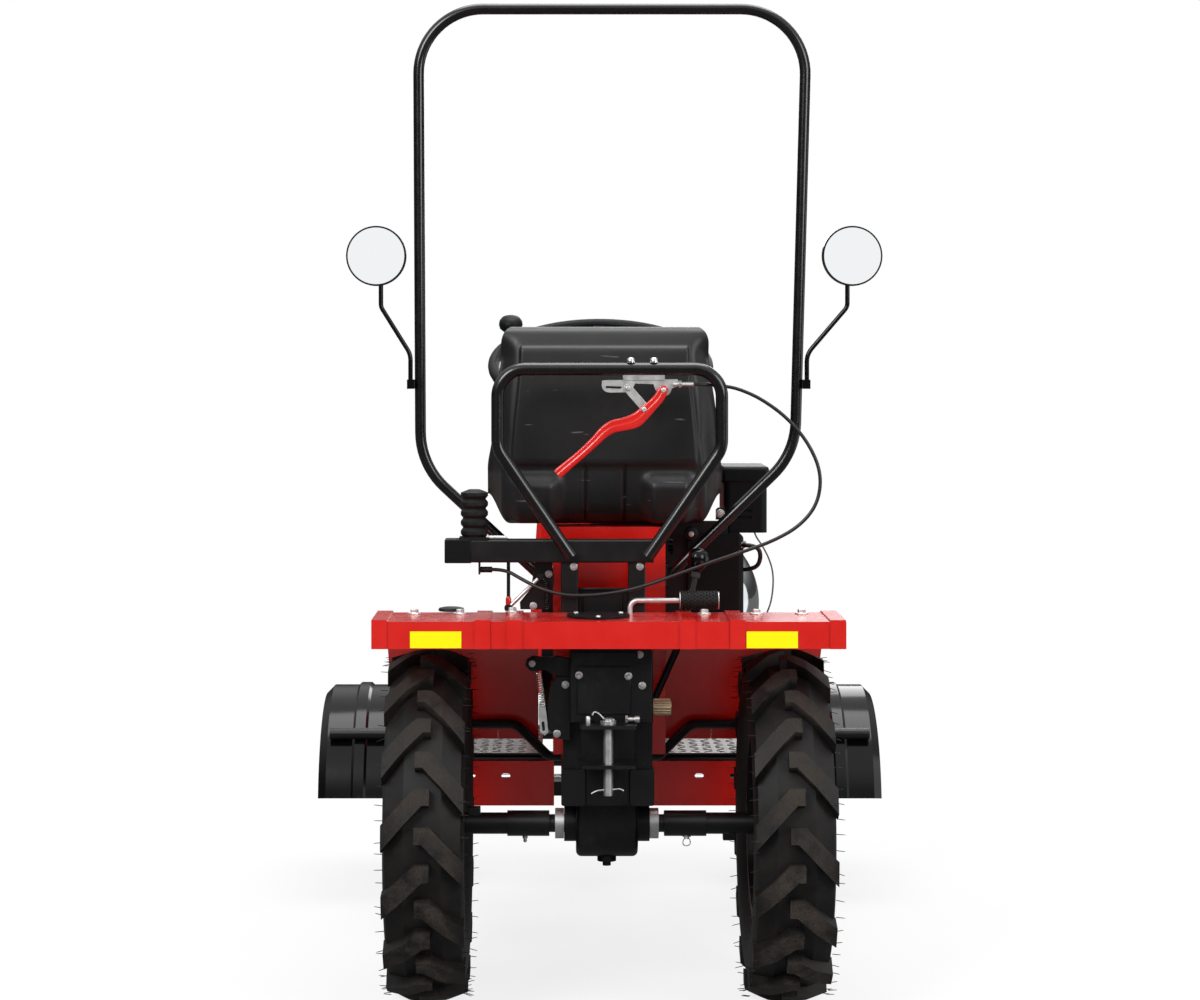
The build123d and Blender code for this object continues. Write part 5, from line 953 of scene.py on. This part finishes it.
# Shift arm: a black forged arm on the left of the case with a bolt at its eye, a zinc-plated
# pull spring and a flat link below it.
arm_edge = [(-60, 586), (-84, 590), (-101, 587), (-124, 590), (-134, 584), (-136, 574), (-128, 565), (-116, 564),
            (-104, 567), (-92, 560), (-60, 552)]
arm = [cut([arm_edge], at(0, -110, 0), 9), turned(((9, -6), (9, 7), (7, 8)), at(-125, -110, 577.5), rear),
       turned(((6.5, -6), (6.5, 6)), at(-112, -110, 576), rear)]
piece("shift_arm", joined(arm), casting, bevel=0.001)
piece("shift_arm_bolt", hex_bolts([(-125, -118, 577.5)], rear, 7), zinc)
wires("shift_spring", [coil((-114, -116, 562), (-107, -116, 508), 4.6, 14)], 1.7, zinc)
link_edge = [(-114, 513), (-105, 515), (-102, 500), (-98, 464), (-104, 459), (-112, 464), (-114, 490)]
shift_link = cut([link_edge, slot_outline(-106, 468, -107, 480, 2.2)], at(0, -116, 0), 3)
piece("shift_link", shift_link, zinc, bevel=0.0005)

# Hitch fittings: a spring clip over the pin's head, a split pin through its foot and two
# threaded fittings on the upper plate, all zinc plated.
top_clip = [(x, -150, z) for x, z in ((-26, 497), (-24, 503), (-17, 501), (-10, 494), (-5, 489.6), (4, 489.4),
                                      (10, 490))]
split_pin = [(-28, -152, 369), (-20, -151, 374), (-8, -150.3, 375), (2, -150.3, 375), (12, -150, 376),
             (20, -149, 377), (25, -148, 373)]
wires("hitch_clips", [top_clip, split_pin], 2.8, zinc)
side_fitting = at(28, -142, 489.4)
fittings = [turned(((4.4, 0), (4.4, 10), (3.2, 12)), at(-33, -142, 482.7), upward),
            turned(((6.6, 0), (6.6, 4)), side_fitting, rightward, 6),
            turned(((4, 4), (4, 15), (6, 15.4), (6, 23), (4, 24)), side_fitting, rightward)]
piece("hitch_fittings", joined(fittings), zinc)

# Power take-off: a turned steel stub with sixteen rolled splines at its end, zinc plated and
# passivated yellow, so its grey metal has a warm cloudy tint.
yellow_zinc = plain_finish("yellow_chromate_zinc", "Noise", {"Scale": 140.0, "Detail": 5.0}, ("#b98f55", "#e6ddc4"),
                           {"Metallic": 1.0, "Roughness": 0.42})
dress(yellow_zinc, "pto_stub")
spline_circle = 12.6
splines = []
for lap in range(16):
    turn = lap * math.pi / 8
    root = at(77, -70 + spline_circle * math.cos(turn), 500 + spline_circle * math.sin(turn))
    splines.append(turned(((1.6, 0), (1.6, 27), (0.8, 28)), root, rightward, 8))
piece("drive_splines", joined(splines), yellow_zinc)

# Axle fittings: a grease nipple under the left sleeve, a bolt with its clip under the right
# one, and a driving lug welded on each hub. They turn with the wheels.
left_wheel, right_wheel = "rear_wheel_body_left", "rear_wheel_body_right"
axle_height = 294
nipple = turned(((4.4, -2), (4.4, 4), (2.8, 5), (2.8, 8), (3.6, 9), (1, 11.5)), at(-138, 0, 272.8), (0, 0, -1), 16)
piece("grease_nipple", nipple, zinc, left_wheel)
piece("hub_bolt", hex_bolts([(135, -4, 273)], (0, -0.2, -1), 9), zinc, right_wheel)
clip_line = [(131, -8, 270), (126, -12, 262), (134, -14, 257), (143, -12, 262), (139, -8, 270)]
wires("hub_clip", [clip_line], 2, zinc, right_wheel)
for name, x, body, down in (("hub_lug_left", -224, left_wheel, 1), ("hub_lug_right", 207, right_wheel, -1)):
    lug_edge = [(half, reach * down) for half, reach in ((-11, 14), (11, 14), (9, 28), (-9, 28))]
    lug = cut([lug_edge], at(x, 0, axle_height), 21, frontward)
    piece(name, lug, chassis_paint, body, bevel=0.0012)

# Moulding hairs: the thin rubber vents that a new tyre keeps on both shoulders, 64 a side,
# cut at random lengths and bent as they left the mould.
hairs_around = 64
random.seed(11)
for name, tyre_x, body in (("tyre_hairs_left", -299, left_wheel), ("tyre_hairs_right", 299, right_wheel)):
    hairs = []
    for side in (-1, 1):
        for lap in range(hairs_around):
            turn = 2 * math.pi * (lap + random.uniform(-0.3, 0.3)) / hairs_around
            radius = random.uniform(268, 287)
            root = at(tyre_x + side * 62, radius * math.cos(turn), axle_height + radius * math.sin(turn))
            lean = (side, random.uniform(-0.25, 0.25), random.uniform(-0.35, 0.25))
            hair = ((0.8, 0), (0.7, random.uniform(9, 12)), (0.4, random.uniform(12.5, 15)))
            hairs.append(turned(hair, root, lean, 4))
    piece(name, joined(hairs), rear_rubber, body)

# Engine fittings: the air cleaner's lid, the black shroud beside the fan housing with a bolted
# tab, a choke knob on its stalk and the zinc-plated fuel union.
low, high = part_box("air_cleaner")
lid_lap = 1.5
lid_edge = rectangle(low[0] * 1000 - lid_lap, (low[1] - rear_axle) * 1000 - lid_lap,
                     high[0] * 1000 + lid_lap, (high[1] - rear_axle) * 1000 + lid_lap)
lid = cut([lid_edge], at(0, 0, high[2] * 1000 - 14), 31, up=frontward)
piece("cleaner_lid", lid, grained, bevel=0.006)
shroud_edge = [(105, 560), (105, 772), (112, 776), (124, 787), (217, 787), (223, 781), (223, 757), (151, 757),
               (151, 560)]
shroud = cut([shroud_edge, slot_outline(120, 730, 120, 752, 4)], at(0, 287.5, 0), 2.4)
piece("engine_shroud", shroud, chassis_paint, bevel=0.0006)
tab = cut([[(202, 788), (202, 806), (206, 810), (219, 810), (219, 788)]], at(0, 302, 0), 3)
piece("engine_tab", tab, chassis_paint, bevel=0.0005)
union = at(250, 292, 744)
fixings = [hex_bolts([(210, 300.4, 799)], rear, 10), turned(((8, 0), (8, 7)), union, rear, 6),
           turned(((5, -8), (5, 12), (6, 13), (6, 16)), union, rear),
           turned(((5.2, 0), (4.6, 2), (1, 2.6)), at(155, 246, 766), rear)]
piece("engine_fixings", joined(fixings), zinc)
choke = [turned(((4, -50), (4, 0)), at(155, 252, 762), rear),
         turned(((9, -6), (12.5, -4), (12.8, 2), (10.5, 5), (6, 6)), at(155, 252, 766), rear, 32)]
piece("choke_knob", joined(choke), epdm)

# Engine lines: a black fuel hose of 8 mm that hooks from the union back into the fan housing,
# and a thin grey cable of 3 mm that bows past the chromed cover into the housing's rim.
grey_pvc = plain_finish("grey_pvc", "Noise", {"Scale": 300.0, "Detail": 3.0}, ("#4a4b4d", "#6a6b6d"),
                        {"Roughness": 0.4, "IOR": 1.53})
hose_line = [(250, 276, 744), (252, 268, 744), (264, 264, 744), (278, 266, 738), (281, 270, 722), (276, 276, 706),
             (262, 284, 700), (248, 296, 698)]
hose = wires("fuel_hose", [hose_line], 8, sheath)
grey_line = [(272, 306, 766), (274, 298, 758), (284, 290, 744), (296, 284, 722), (304, 280, 696), (304, 279, 664),
             (298, 279, 632), (284, 282, 606), (262, 290, 592), (240, 302, 588)]
grey = wires("throttle_cable", [grey_line], 3, grey_pvc)

# Headlamps: a chromed rim and bowl in each black can, behind a pressed glass lens whose ribs
# of 4 mm spread the beam.
lens_glass = plain_finish("ribbed_lens_glass", "Wave", {"Scale": 78.0, "wave_type": "BANDS"}, ("#e6ecee", "#ffffff"),
                          {"Roughness": 0.04, "IOR": 1.47, "Transmission Weight": 0.8}, (0.5, 0.001))
low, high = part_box("headlamps")
lamp_lean = math.radians(4)
lamp_axis = (0, math.cos(lamp_lean), math.sin(lamp_lean))
lamp_radius = 0.034
rim = ((33.6, -8), (35.4, -5), (35.6, 1), (34.4, 3), (31, 3.4), (30.4, 1), (28, -0.6), (12, -1.4), (1, -1.6))
lens = ((30.6, 0.4), (30.6, 2), (27, 5), (20, 7.6), (10, 9.2), (1, 9.6))
lamp_faces = [Vector((x, high[1] - 0.003, (low[2] + high[2]) / 2))
              for x in (low[0] + lamp_radius, high[0] - lamp_radius)]
piece("lamp_rims", joined([turned(rim, face, lamp_axis, 48) for face in lamp_faces]), chrome)
piece("lamp_lenses", joined([turned(lens, face, lamp_axis, 48) for face in lamp_faces]), lens_glass)

# Deck wall seams: folded red strips of 18 mm, spot-welded in front of the joints between the
# deck panels. They follow the deck's curve round the tyre.
strip_edge = ((-9, 346), (9, 346), (9, 347.5), (-9, 347.5))
strip_steps = 36
strips = []
for x in (-191, 195):
    verts = []
    for step in range(strip_steps + 1):
        turn = math.radians(19 + 56 * step / strip_steps)
        verts += [at(x + half, radius * math.cos(turn), axle_height + radius * math.sin(turn))
                  for half, radius in strip_edge]
    strips.append((verts, band_faces(strip_steps + 1, 4)))
piece("deck_seam_strips", joined(strips), powder_red)

# Footboard tread: the raised bars of the chequer plate, 24 mm long, rolled with it and crossing
# by turns every 24 mm.
bar_pitch = 24
bars = []
for side in (-1, 1):
    for i in range(11):
        for j in range(15):
            turn = math.radians(45 if (i + j) % 2 else -45)
            verts = []
            for half_length, half_width, z in ((12, 3.4, 344), (9, 1.8, 345.5)):
                for step in range(8):
                    lap = 2 * math.pi * step / 8
                    x, y = half_length * math.cos(lap), half_width * math.sin(lap)
                    verts.append(at(side * (126 + i * bar_pitch) + x * math.cos(turn) - y * math.sin(turn),
                                    468 + j * bar_pitch + x * math.sin(turn) + y * math.cos(turn), z))
            bars.append((verts, band_faces(2, 8)))
piece("tread_bars", joined(bars), plate)

size = {"cad": [list(corner) for corner in cad_box], "visual": [list(corner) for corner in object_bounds()]}
